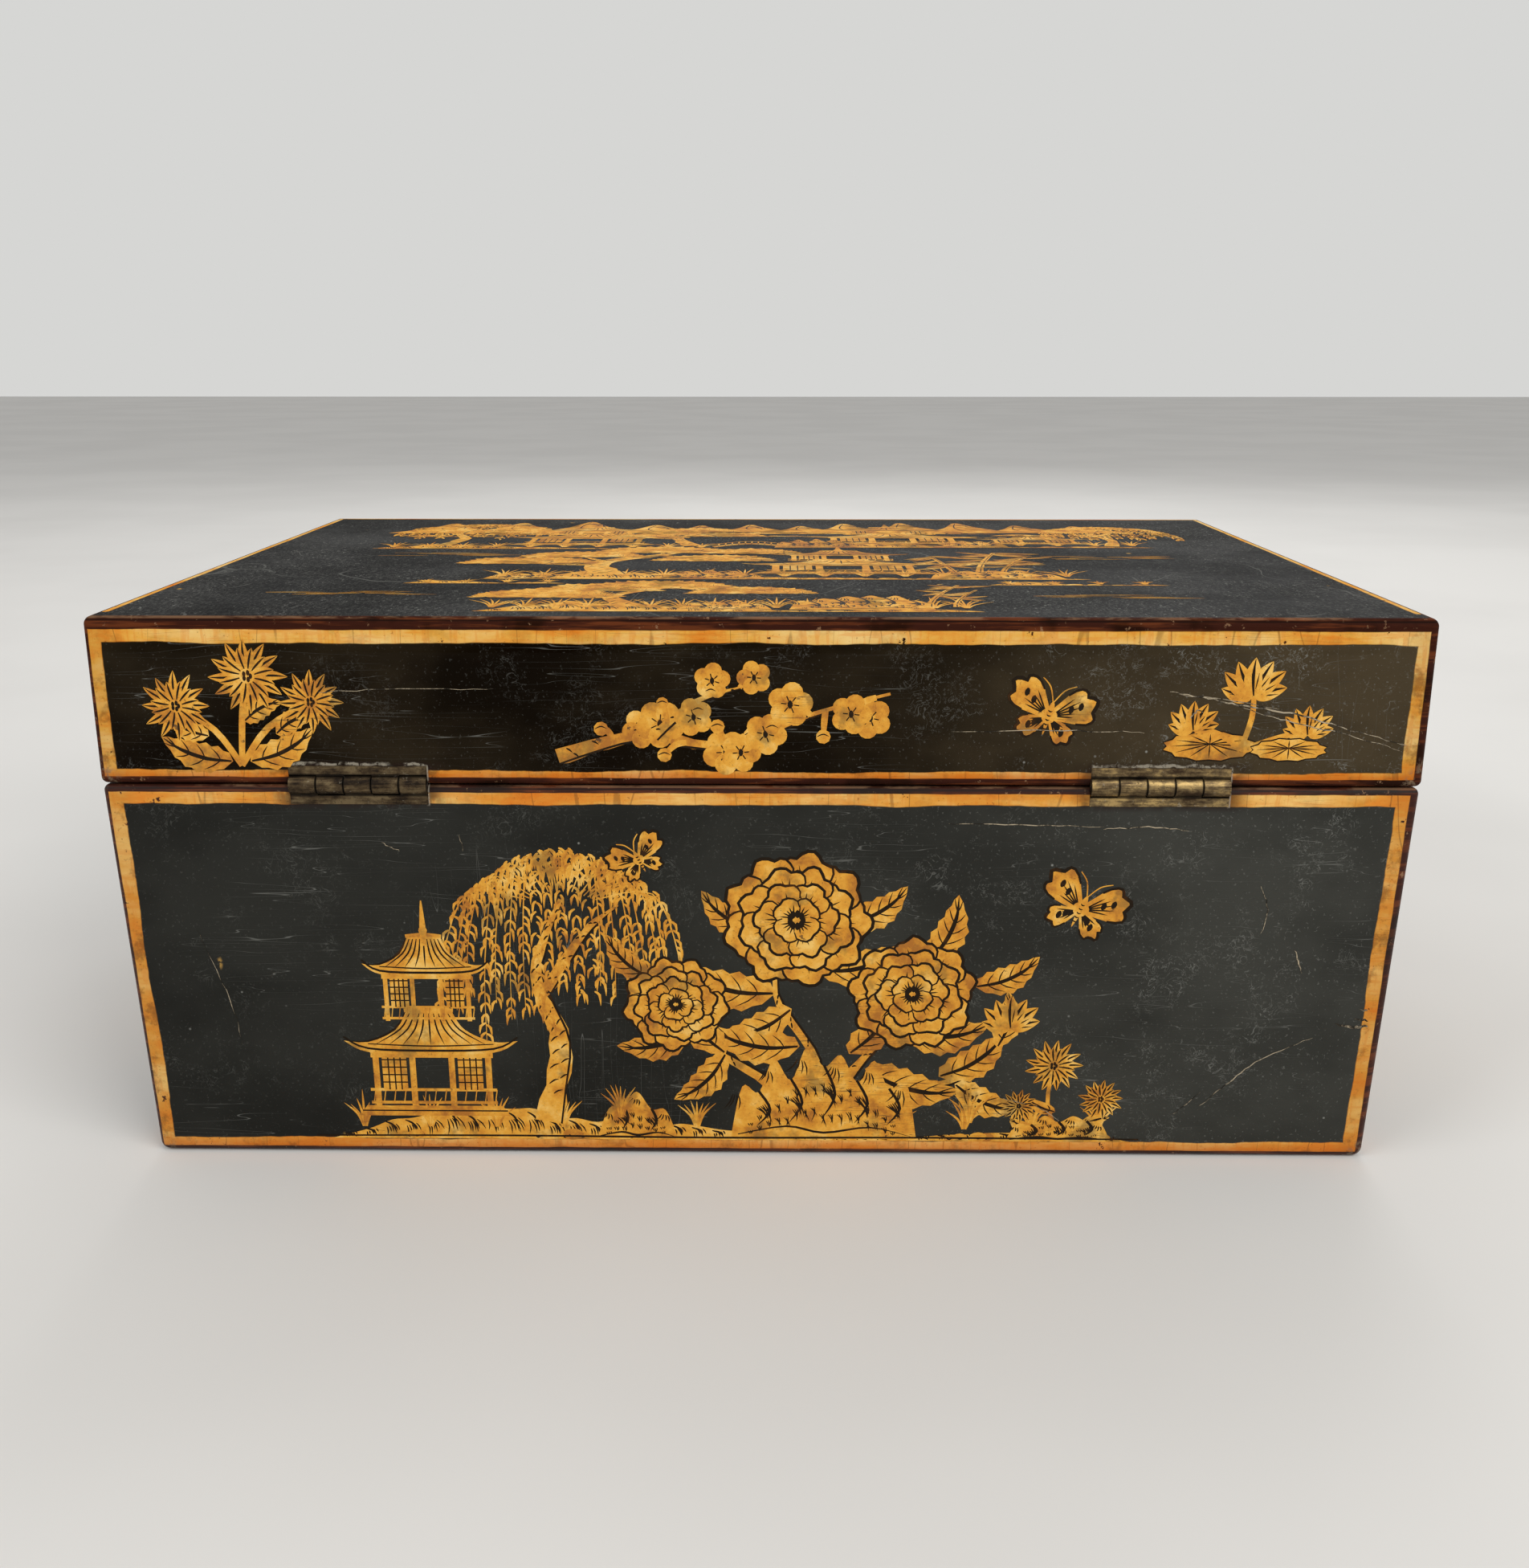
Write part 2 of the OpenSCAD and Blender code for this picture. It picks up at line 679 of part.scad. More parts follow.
module link_plate() {
    color(BRASS) difference() {
        union() {
            link_plate_blank(0, lock_plate_t);
            for (side = [-1, 1])
                translate([side * loop_pitch / 2, lock_y + lock_mid_y, lid_z]) link_loop();
        }
        for_each_link_screw() wood_screw_hole(lock_screw_len);
    }
}

module link_screws() {
    color(BRASS) for_each_link_screw()
        translate([0, 0, -screw_clear]) wood_screw(lock_screw_len);
}

// The leaning front face at the keyhole: X along the box, +Y out of the face, Z up the wall.
module on_front() {
    lean_in = wall_lean * (keyhole_drop - joint_edge_r) / lean_h;
    translate([0, box_d / 2 - lean_in, body_h - keyhole_drop]) rotate([-lean_a, 0, 0]) children();
}

module keyhole_outline(grow) {
    circle(d = keyhole_d + 2 * grow);
    translate([-keyhole_slot_w / 2 - grow, -keyhole_slot_l])
        square([keyhole_slot_w + 2 * grow, keyhole_slot_l]);
    translate([0, -keyhole_slot_l]) circle(d = keyhole_slot_w + 2 * grow);
}

// The keyhole, cut from just outside the front face to a depth inside it.
module keyhole(depth) {
    translate([0, past, 0]) rotate([90, 0, 0]) linear_extrude(depth + past) keyhole_outline(0);
}

module escutcheon_blank(grow, t) {
    lift = grow > 0 ? past : 0;
    translate([0, lift, 0]) rotate([90, 0, 0]) linear_extrude(t + lift)
        keyhole_outline(escutcheon_rim + grow);
}

module keyhole_escutcheon() {
    color(BRASS) on_front() difference() {
        escutcheon_blank(0, escutcheon_t);
        keyhole(wall_t);
    }
}

// ---------------------------------------------------------------- tray

module tray_side(turn, along, across) {
    h = tray_h - tray_bottom_t;
    color(DEAL) intersection() {
        rotate([0, 0, turn]) translate([0, -across / 2 + tray_side_t / 2, tray_floor])
            round_top_strip(along, tray_side_t, h);
        rotate([0, 0, turn])
            mitre_wedge(along, across, tray_side_t + past, tray_floor - past, tray_top + past);
    }
}

module tray_back_side() {
    tray_side(0, tray_w, tray_d);
}

module tray_front_side() {
    tray_side(180, tray_w, tray_d);
}

module tray_left_side() {
    tray_side(-90, tray_d, tray_w);
}

module tray_right_side() {
    tray_side(90, tray_d, tray_w);
}

module tray_bottom() {
    color(DEAL) translate([-tray_w / 2, -tray_d / 2, tray_z]) cube([tray_w, tray_d, tray_bottom_t]);
}

// The long divider is notched from the top and the cross dividers from below, so that they
// halve together.
module tray_long_divider() {
    slot = divider_t + 2 * seat_clear;
    color(DEAL) translate([0, long_divider_y, tray_floor]) difference() {
        round_top_strip(tray_in_w, divider_t, divider_h);
        for (side = [-1, 1])
            translate([side * cross_divider_x - slot / 2, -divider_t, divider_h / 2 - seat_clear])
                cube([slot, 2 * divider_t, divider_h]);
    }
}

module tray_cross_dividers() {
    slot = divider_t + 2 * seat_clear;
    color(DEAL) for (side = [-1, 1])
        translate([side * cross_divider_x, 0, tray_floor]) difference() {
            rotate([0, 0, 90]) round_top_strip(tray_in_d, divider_t, divider_h);
            translate([-divider_t, long_divider_y - slot / 2, -past])
                cube([2 * divider_t, slot, divider_h / 2 + past]);
        }
}

module tray_pads() {
    color(CRIMSON) for (c = [0 : 2], r = [0 : 1]) if (!(c == 1 && r == 0)) {
        w = COLUMNS[c][1] - COLUMNS[c][0] - 2 * pad_clear;
        d = ROWS[r][1] - ROWS[r][0] - 2 * pad_clear;
        x = (COLUMNS[c][0] + COLUMNS[c][1]) / 2;
        y = (ROWS[r][0] + ROWS[r][1]) / 2;
        translate([x - w / 2, y - d / 2, tray_floor + pad_clear / 2]) cube([w, d, tray_pad_t]);
    }
}

// Padded rolls that hold rings between them, side by side in the middle back compartment.
module ring_cushion() {
    pitch = back_row_d / ring_rolls;
    roll_r = pitch / 2 - pad_clear;
    roll_l = middle_col_w - 2 * pad_clear;
    color(CRIMSON) for (i = [0 : ring_rolls - 1])
        translate([-roll_l / 2, ROWS[0][0] + (i + 0.5) * pitch, tray_floor + pad_clear + roll_r])
            rotate([0, 90, 0]) cylinder(r = roll_r, h = roll_l);
}

module tray_pulls() {
    long = pull_tail + pull_rise;
    color(RIBBON) for (side = [-1, 1])
        translate([side * (tray_in_w / 2 - pull_t / 2 - pad_clear / 2), 0, tray_top - pull_tail])
            rotate([90, 0, 90]) translate([0, 0, -pull_t / 2]) linear_extrude(pull_t) {
                translate([-pull_w / 2, 0]) square([pull_w, long - pull_w / 2]);
                translate([0, long - pull_w / 2]) circle(d = pull_w);
            }
}

body_back_board();
body_front_board();
body_left_board();
body_right_board();
bottom_board();
left_tray_bearer();
right_tray_bearer();
floor_pad();
lid_back_rail();
lid_front_rail();
lid_left_rail();
lid_right_rail();
lid_top_board();
lid_pad();
left_hinge_body_leaf();
left_hinge_lid_leaf();
left_hinge_pin();
right_hinge_body_leaf();
right_hinge_lid_leaf();
right_hinge_pin();
hinge_body_screws();
hinge_lid_screws();
lock_case();
lock_cap();
lock_bolt();
lock_screws();
link_plate();
link_screws();
keyhole_escutcheon();
tray_back_side();
tray_front_side();
tray_left_side();
tray_right_side();
tray_bottom();
tray_long_divider();
tray_cross_dividers();
tray_pads();
ring_cushion();
tray_pulls();
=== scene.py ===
"""Dresses the japanned jewelry box: studio, finishes, penwork, hinges, lock, tray and linings."""

import json
import logging
import random
from dataclasses import dataclass, replace
from enum import Enum
from math import cos, degrees, dist, exp, hypot, pi, radians, sin, tau
from typing import Any, Callable, Iterable, Self, Sequence

import bpy
from bpy.types import Object
from mathutils import Matrix, Vector, noise as wander
from mathutils.geometry import delaunay_2d_cdt

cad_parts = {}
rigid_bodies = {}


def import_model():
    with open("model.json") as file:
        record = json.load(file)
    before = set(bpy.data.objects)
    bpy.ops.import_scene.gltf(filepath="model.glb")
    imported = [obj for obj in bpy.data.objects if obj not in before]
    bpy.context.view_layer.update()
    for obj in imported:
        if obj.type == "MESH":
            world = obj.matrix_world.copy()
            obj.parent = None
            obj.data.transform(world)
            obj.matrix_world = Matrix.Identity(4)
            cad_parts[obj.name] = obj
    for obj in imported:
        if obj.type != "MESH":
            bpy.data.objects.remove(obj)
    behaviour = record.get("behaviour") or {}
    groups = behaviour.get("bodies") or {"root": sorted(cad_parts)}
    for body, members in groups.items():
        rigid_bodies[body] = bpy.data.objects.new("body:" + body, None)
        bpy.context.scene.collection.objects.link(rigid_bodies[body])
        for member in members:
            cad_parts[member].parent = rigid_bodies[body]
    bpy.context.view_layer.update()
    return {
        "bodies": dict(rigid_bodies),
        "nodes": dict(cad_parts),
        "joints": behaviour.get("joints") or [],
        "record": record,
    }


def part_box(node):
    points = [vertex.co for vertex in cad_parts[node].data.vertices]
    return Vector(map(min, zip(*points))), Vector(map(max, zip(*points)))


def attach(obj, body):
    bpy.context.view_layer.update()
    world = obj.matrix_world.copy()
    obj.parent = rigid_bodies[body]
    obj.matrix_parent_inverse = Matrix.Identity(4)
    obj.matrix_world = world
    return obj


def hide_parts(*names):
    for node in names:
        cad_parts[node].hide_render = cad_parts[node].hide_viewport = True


MM = 0.001
HINGE_X = 92.5  # the middle of each hinge, in millimetres to either side
HINGE_HALF = 16.0
JOINT_Z = 96.15  # the middle of the gap between body and lid
KNOTS = 0.25  # how uneven a twig's edges are, as a share of its width
NIB = 1.75  # how much wider than asked for the pen draws
CLOTH_FRAMES = 20
Triple = tuple[float, float, float]
Colour = Triple
Point = tuple[float, float]


def paint(red: int, green: int, blue: int) -> Colour:
    """A colour in screen steps from 0 to 255, as the linear values that a shader takes."""
    steps = (red / 255, green / 255, blue / 255)
    return tuple(s / 12.92 if s <= 0.04045 else ((s + 0.055) / 1.055) ** 2.4 for s in steps)


def linked(name: str, data: bpy.types.ID) -> Object:
    """Puts a new object with that data into the scene."""
    piece = bpy.data.objects.new(name, data)
    bpy.context.scene.collection.objects.link(piece)
    return piece


def from_mesh(name: str, places: Sequence[Vector], faces: Sequence[Sequence[int]]) -> Object:
    """Makes a piece from its points and the corners of its faces."""
    mesh = bpy.data.meshes.new(name)
    mesh.from_pydata(places, [], faces)
    return linked(name, mesh)


def only(*pieces: Object) -> None:
    """Selects some pieces and nothing else.

    Args:
        pieces: The pieces, the first of which becomes the active one.
    """
    bpy.ops.object.select_all(action="DESELECT")
    for piece in pieces:
        piece.select_set(True)
    bpy.context.view_layer.objects.active = pieces[0]


def operator(operation: str, swapped: bool = False) -> Callable[["Val", "Number"], "Val"]:
    """A method of Val that adds a Math node.

    Args:
        operation: The node's operation.
        swapped: Whether the other value comes first.

    Returns:
        The method.
    """
    def method(self: "Val", other: "Number") -> "Val":
        """The result for self and other."""
        return self.graph.maths(operation, *((other, self) if swapped else (self, other)))

    return method


class Val:
    """One output socket, with the arithmetic that adds Math nodes."""

    __add__, __radd__ = operator("ADD"), operator("ADD", True)
    __sub__, __rsub__ = operator("SUBTRACT"), operator("SUBTRACT", True)
    __mul__, __rmul__ = operator("MULTIPLY"), operator("MULTIPLY", True)
    __truediv__ = operator("DIVIDE")
    least, most = operator("MINIMUM"), operator("MAXIMUM")

    def __init__(self, graph: "Graph", socket: bpy.types.NodeSocket) -> None:
        """Keeps the graph and the socket."""
        self.graph = graph
        self.socket = socket

    def __abs__(self) -> "Val":
        """The size of self, without its sign."""
        return self.graph.maths("ABSOLUTE", self)

    def step(self, start: float, end: float) -> "Val":
        """Goes smoothly from 0 to 1.

        Args:
            start, end: Where it is 0 and where it is 1; start may be the larger.

        Returns:
            The smooth step.
        """
        if start > end:
            return 1 - self.step(end, start)
        return self.graph.add("MapRange", {"interpolation_type": "SMOOTHSTEP"},
                              {"Value": self, "From Min": start, "From Max": end})


Number = float | Val


class Graph:
    """The node tree of one finish, or of the surroundings."""

    def __init__(self, name: str, world: bool = False) -> None:
        """Starts an empty tree.

        Args:
            name: Name of its material or world.
            world: Whether it is a world.
        """
        self.owner = (bpy.data.worlds if world else bpy.data.materials).new(name)
        self.owner.use_nodes = True
        self.tree = self.owner.node_tree
        self.tree.nodes.clear()
        self.at = self.add("TexCoord", output="Object")

    def add(self, kind: str, settings: dict[str, Any] | None = None,
            sockets: dict[Any, Any] | None = None, output: int | str = 0) -> Val:
        """Adds a node.

        Args:
            kind: Node type without its ShaderNode prefix.
            settings: Its properties; "stops" holds a ramp's places and colours.
            sockets: A value or a Val to link for inputs by name or number.
            output: The output that is wanted.

        Returns:
            That output.
        """
        node = self.tree.nodes.new("ShaderNode" + kind)
        for key, value in (settings or {}).items():
            if key == "stops":
                ramp = node.color_ramp.elements
                while len(ramp) < len(value):
                    ramp.new(0.5)
                for stop, (place, colour) in zip(ramp, value):
                    stop.position = place
                    stop.color = (*colour, 1)
            else:
                setattr(node, key, value)
        for key, value in (sockets or {}).items():
            socket = node.inputs[key]
            if isinstance(value, Val):
                self.tree.links.new(value.socket, socket)
            elif isinstance(value, tuple) and len(socket.default_value) == 4:
                socket.default_value = (*value, 1)
            else:
                socket.default_value = value
        return Val(self, node.outputs[output] if len(node.outputs) else None)

    def maths(self, operation: str, *values: Number) -> Val:
        """A Math node of that operation on the values."""
        return self.add("Math", {"operation": operation}, dict(enumerate(values)))

    def xyz(self) -> tuple[Val, Val, Val]:
        """The place on the piece in millimetres, as three values."""
        scaled = self.add("VectorMath", {"operation": "SCALE"}, {0: self.at, "Scale": 1000.0})
        return tuple(self.add("SeparateXYZ", sockets={0: scaled}, output=k) for k in range(3))

    def turned(self, turn: Triple = (0, 0, 0), scale: Triple = (1, 1, 1), shift: Triple = (0, 0, 0)) -> Val:
        """The place turned in degrees, stretched and shifted in metres, for a pattern with a direction."""
        return self.add("Mapping", sockets={"Vector": self.at, "Rotation": tuple(map(radians, turn)),
                                            "Scale": scale, "Location": shift})

    def noise(self, size: float, detail: float = 2.0, rough: float = 0.5, at: Val | None = None,
              bend: float = 0.0) -> Val:
        """Soft noise between about 0.3 and 0.7, its spots about size millimetres wide."""
        return self.add("TexNoise", {}, {"Vector": at or self.at, "Scale": 1000 / size, "Detail": detail,
                                         "Roughness": rough, "Distortion": bend})

    def spots(self, size: float, at: Val | None = None) -> Val:
        """Distance to scattered points spaced about size millimetres."""
        return self.add("TexVoronoi", {}, {"Vector": at or self.at, "Scale": 1000 / size})

    def blend(self, mask: Number, under: Any, over: Any) -> Val:
        """The colour over laid on the colour under, as much as the mask says."""
        return self.add("Mix", {"data_type": "RGBA", "clamp_factor": True}, {0: mask, 6: under, 7: over}, 2)

    def layers(self, under: Any, *over: tuple[Number, Any]) -> Val:
        """Lays colours one over another.

        Args:
            under: Lowest colour.
            over: The mask and the colour of each layer, from the lowest up.

        Returns:
            The mixed colour.
        """
        for mask, colour in over:
            under = self.blend(mask, under, colour)
        return under

    def ramp(self, value: Val, *stops: tuple[float, Colour]) -> Val:
        """A colour ramp through the stops."""
        return self.add("ValToRGB", {"stops": stops}, {0: value})

    def scratches(self, turn: Triple, stretch: Triple, size: float, width: float, share: float,
                  shift: float = 0.0) -> Val:
        """Fine long lines: the level lines of a stretched noise, kept only in patches.

        Args:
            turn, stretch: Turn of the noise in degrees, and its stretch.
            size: Distance between the lines in millimetres.
            width: Width of a line as a span of the noise.
            share: Level above which lines show.
            shift: Offset that tells one layer from another.

        Returns:
            The mask.
        """
        lines = self.noise(size, 1.0, 0.4, self.turned(turn, stretch, (shift, shift, shift)), 0.2)
        patches = self.noise(size * 1.6, 2.0, 0.6, self.turned((0, 0, 0), (1, 1, 1), (shift, 0, shift)))
        return abs(lines - 0.5).step(width, width * 0.3) * patches.step(share, share + 0.06)

    def surface(self, base: Any, roughness: Number, metallic: Number = 0.0, height: Val | None = None,
                relief: float = 0.1, gloss: float = 0.5, **fixed: Any) -> None:
        """Ends the tree in a Principled shader.

        Args:
            base: Colour.
            roughness: Roughness.
            metallic: Metallic share.
            height: Relief between 0 and 1.
            relief: Its depth in millimetres.
            gloss: Strength of the gloss.
            fixed: Values of other sockets, named with _ for a space.
        """
        sockets = {key.replace("_", " "): value for key, value in fixed.items()}
        sockets |= {"Base Color": base, "Roughness": roughness, "Metallic": metallic,
                    "Specular IOR Level": gloss}
        if height is not None:
            bump = {"Strength": 1.0, "Distance": relief * MM, "Height": height}
            sockets["Normal"] = self.add("Bump", {}, bump)
        shader = self.add("BsdfPrincipled", {}, sockets)
        self.add("OutputMaterial", {}, {"Surface": shader})


class Finish:
    """A finish that is made once and put on any number of pieces."""

    def build(self) -> None:
        """Makes the material."""
        raise NotImplementedError

    def dress(self, *pieces: Object) -> None:
        """Puts the finish on some pieces.

        Args:
            pieces: The pieces, whose own materials go.
        """
        if self.name not in bpy.data.materials:
            self.build()
        for piece in pieces:
            piece.data.materials.clear()
            piece.data.materials.append(bpy.data.materials[self.name])


@dataclass(frozen=True)
class Japan(Finish):
    """Black japan in painted ochre bands, with brown rubbed edges and wear, round a whole body or lid."""

    name: str
    half_w: float
    half_d: float
    low: float
    high: float
    ground: Colour
    haze_and_sheen: Colour
    ochre: Colour
    gloss: float
    low_dull: float
    lean: float = 0.0
    lean_from: float = 0.0
    edge_in: float = 1.8
    band_w: float = 3.1
    top_in: float = 1.6
    top_band: float = 2.8
    low_in: float = 1.8
    low_band: float = 2.4
    ochre_pale: Colour = paint(236, 192, 112)
    ochre_deep: Colour = paint(214, 122, 34)
    edge: Colour = paint(54, 26, 18)
    edge_worn: Colour = paint(112, 58, 30)
    inside: Colour = paint(104, 62, 36)
    # how far the ground is painted lighter towards the right as a sheen, with more grit and scuffs there too,
    # and where that starts
    right_sheen_and_wear: float = 0.6
    right_sheen_from: float = -0.5
    has_top: bool = False

    def build(self) -> None:
        """Makes the japan."""
        g = Graph(self.name)
        x, y, z = g.xyz()
        lean = (self.lean_from - z) * self.lean
        from_end, from_long = self.half_w - lean - abs(x), self.half_d - lean - abs(y)
        depth, side = from_end.least(from_long), from_end.most(from_long)
        waver = (g.noise(34, 3, 0.55) - 0.5) * 2.2 + (g.noise(3.2, 2) - 0.5) * 0.5
        sway = (g.noise(22, 3, 0.6, g.turned(shift=(0.3, 0.1, 0.2))) - 0.5) * 2.0
        down, up = self.high - z, z - self.low
        rim = down.step(2.6, 1.6).most(up.step(2.4, 1.4))
        painted = (depth - rim * 2.2).step(1.0, 0.6)
        widen = x * (0.45 / self.half_w)
        outer = (side - self.edge_in - widen).least(down - self.top_in).least(up - self.low_in)
        outer = outer + (g.noise(9, 2) - 0.5) * 0.5
        inner = (side + waver - (self.edge_in + self.band_w + widen))
        inner = inner.least(down + sway - self.top_in - self.top_band)
        inner = inner.least(up + waver - self.low_in - self.low_band)
        if self.has_top:
            top = down.step(0.3, 0.1) * depth.step(1.6, 2.2)
            rubbed = y.step(-96, -98.5) * 4
            outer = outer * (1 - top) + (depth - 1.5 - rubbed + (g.noise(9, 2) - 0.5) * 0.5) * top
            inner = inner * (1 - top) + (depth + sway * 0.5 - 3.3 + rubbed) * top
            painted = painted.most(top)
        framed, ground = outer.step(-0.12, 0.12), inner.step(-0.16, 0.16)
        chips = g.noise(5.0, 5, 0.7).step(0.66, 0.69)
        ochre = framed * (1 - ground) * (1 - chips)
        # ochre: brushed, thin and thick by turns, duller near the foot and the ends, cracked across
        tone = g.noise(17, 5, 0.62, g.turned(scale=(0.5, 0.5, 1.3)))
        streak = g.noise(1.3, 3, 0.6, g.turned(scale=(0.12, 0.12, 1)))
        streak = streak.least(g.noise(1.3, 3, 0.6, g.turned(scale=(1, 1, 0.12))))
        low_tone = up.step(self.low_in + self.low_band + 1.2, self.low_in)
        cracks = abs(g.noise(9, 1, 0.4, g.turned((0, 0, 8), (1, 1, 0.1))) - 0.5).step(0.006, 0.002)
        grime, ends = g.noise(7, 5, 0.7).step(0.5, 0.66), side.step(9, 4)
        gold = g.layers(
            g.ramp(tone, (0.34, self.ochre_deep), (0.46, self.ochre), (0.64, self.ochre_pale)),
            (streak.step(0.5, 0.38) * 0.35, self.ochre_deep),
            (g.noise(0.9, 3, 0.7).step(0.6, 0.72) * 0.55, paint(120, 66, 20)),
            (low_tone * self.low_dull, paint(186, 88, 16)),
            (ends * (0.25 + grime * 0.3), paint(140, 88, 32)),
            ((cracks * 0.4).most(grime * (0.16 + low_tone * 0.25 + ends * 0.2)), paint(70, 42, 22)))
        # ground: cloudy, with grit, scuffs, nicks and scratches, more of them to one end, where a painted
        # sheen also lightens the ground
        cloud = g.noise(45, 4, 0.6, g.turned(scale=(0.7, 0.7, 1.2))).step(0.36, 0.66)
        # painted sheen: the ground turns lighter towards the right end, which also has more wear
        sheen_and_handling = (x / self.half_w).step(self.right_sheen_from, 0.85) * self.right_sheen_and_wear
        black = g.blend(cloud * 0.3 + sheen_and_handling * (0.7 + cloud * 0.4), self.ground, self.haze_and_sheen)
        grit_and_glint = g.noise(0.7, 2, 0.6).step(0.62, 0.72) * (0.2 + sheen_and_handling * 0.5)
        dots = g.spots(8.0).step(0.055, 0.02) * g.noise(26, 2).step(0.44, 0.55)
        patch = g.noise(13, 3, 0.65, g.turned(shift=(0.5, 0.2, 0.7))).step(0.52, 0.64) * (0.3 + sheen_and_handling * 0.9)
        scuff = abs(g.noise(4.5, 3, 0.7, bend=0.8) - 0.5).step(0.012, 0.003) * patch
        scuff = scuff.most(g.noise(0.8, 3, 0.75).step(0.56, 0.68) * patch * 0.55)
        lines = g.scratches((0, 62, 20), (1, 1, 20), 42, 0.004, 0.53)
        lines = lines.most(g.scratches((0, -38, -20), (1, 1, 18), 46, 0.0035, 0.54, 0.4))
        lines = lines.most(g.scratches((4, 14, 0), (16, 1, 1), 50, 0.003, 0.585, 0.8))
        if self.has_top:
            long = g.turned(scale=(1, 0.45, 1))
            rough_up = g.noise(30, 3).step(0.36, 0.62)
            grain = g.noise(0.7, 4, 0.85, long).step(0.46, 0.64) * (0.14 + rough_up * 0.14)
            # painted glints: pale specks of highlight on the top, laid in with the grit
            painted_glint = g.noise(0.9, 3, 0.7, long).step(0.6, 0.7) * (0.35 + rough_up * 0.5)
            grit_and_glint = grit_and_glint * (1 - top) + grain.most(painted_glint) * top * 2
            black = g.blend(top, black, g.blend(rough_up * 0.5, paint(17, 16, 16), paint(34, 33, 33)))
        # on the top, worn also carries the painted glints
        worn = (grit_and_glint * 0.5).most(dots * 0.9).most(lines * 0.36).most(scuff * 0.5)
        nicks = g.spots(21, g.turned((0, 20, 0), (1, 1, 0.4), (0.3, 0.1, 0.2))).step(0.05, 0.025)
        black = g.layers(black, (worn, paint(132, 132, 126)),
                         (nicks * g.noise(1.2, 2).step(0.42, 0.55), paint(176, 138, 70)))
        # by the hinges: pale crumbs along the upper cut, a painted highlight down the right end, and darker
        # paint at both ends
        past, joint, back = abs(abs(x) - HINGE_X) - HINGE_HALF, abs(z - JOINT_Z), y.step(-60, -90)
        crumbs_and_highlight = abs(z - 101.1 + (g.noise(2.6, 3) - 0.5) * 2.2).step(0.6, 0.2) * past.step(0.3, -0.6)
        crumbs_and_highlight = crumbs_and_highlight * g.noise(5, 3).step(0.42, 0.56)
        # painted highlight: a pale line down the right end of each hinge's cut
        crumbs_and_highlight = crumbs_and_highlight.most(abs(abs(x - HINGE_HALF) - HINGE_X).step(0.5, 0.2) * joint.step(5.2, 4.4))
        dust = crumbs_and_highlight * back * g.noise(1.0, 4, 0.75).step(0.38, 0.52)
        # darker paint beside both ends of each hinge, near the joint
        dark_by_hinges = past.step(6, 0) * joint.step(6.4, 4.6) * back * g.noise(4, 3).step(0.3, 0.55)
        # rubbed edges: brown, worn to the wood in spots
        rub = g.noise(1.6, 4, 0.65, g.turned(scale=(0.06, 0.06, 1))).step(0.48, 0.62)
        arris = g.noise(3.2, 4, 0.7, g.turned(scale=(0.2, 0.2, 1))).step(0.42, 0.56)
        arris = abs(down - 0.2).step(0.3, 0.1) * arris * 0.75
        brown = g.layers(
            self.edge, (rub * 0.6, self.edge_worn),
            (g.noise(14, 3).step(0.54, 0.66) * 0.6, self.ground),
            (abs(down - 0.75).step(0.25, 0.1) * 0.8, paint(26, 16, 12)),
            (arris.most(g.noise(2.4, 4, 0.75).step(0.62, 0.68)) * 0.6, paint(150, 116, 86)))
        # bare wood on the inside, darker towards the painted edge
        grain = g.noise(2.6, 5, 0.6, g.turned(scale=(0.06, 0.06, 1)))
        wood = g.layers(
            self.inside, (grain.step(0.35, 0.66), paint(62, 35, 20)),
            (g.noise(28, 4, 0.6).step(0.5, 0.7) * 0.6, paint(44, 27, 17)),
            (depth.step(3.6, 2.6), paint(30, 22, 17)))
        corner = (side * 1.0 + up * 0.8 + waver * 1.5).step(7.5, 3.5) * g.noise(2.2, 4, 0.7).step(0.5, 0.6)
        outside = g.layers(brown, (ground, black), (ochre, gold), (dark_by_hinges * 0.75, paint(34, 22, 18)),
                           (corner * 0.7, paint(116, 98, 78)))
        # dust also holds the painted highlight at the right end of each hinge
        colour = g.layers(wood, (painted, outside), (dust * 0.7, paint(160, 152, 136)))
        rough = 0.44 + cloud * 0.14 + worn * 0.3 + ochre * 0.08
        relief = ochre * 0.35 + g.noise(1.6, 3, 0.6) * 0.35 - lines * 0.4 - chips * framed * 0.3
        g.surface(colour, rough, height=relief, relief=0.09, gloss=self.gloss)


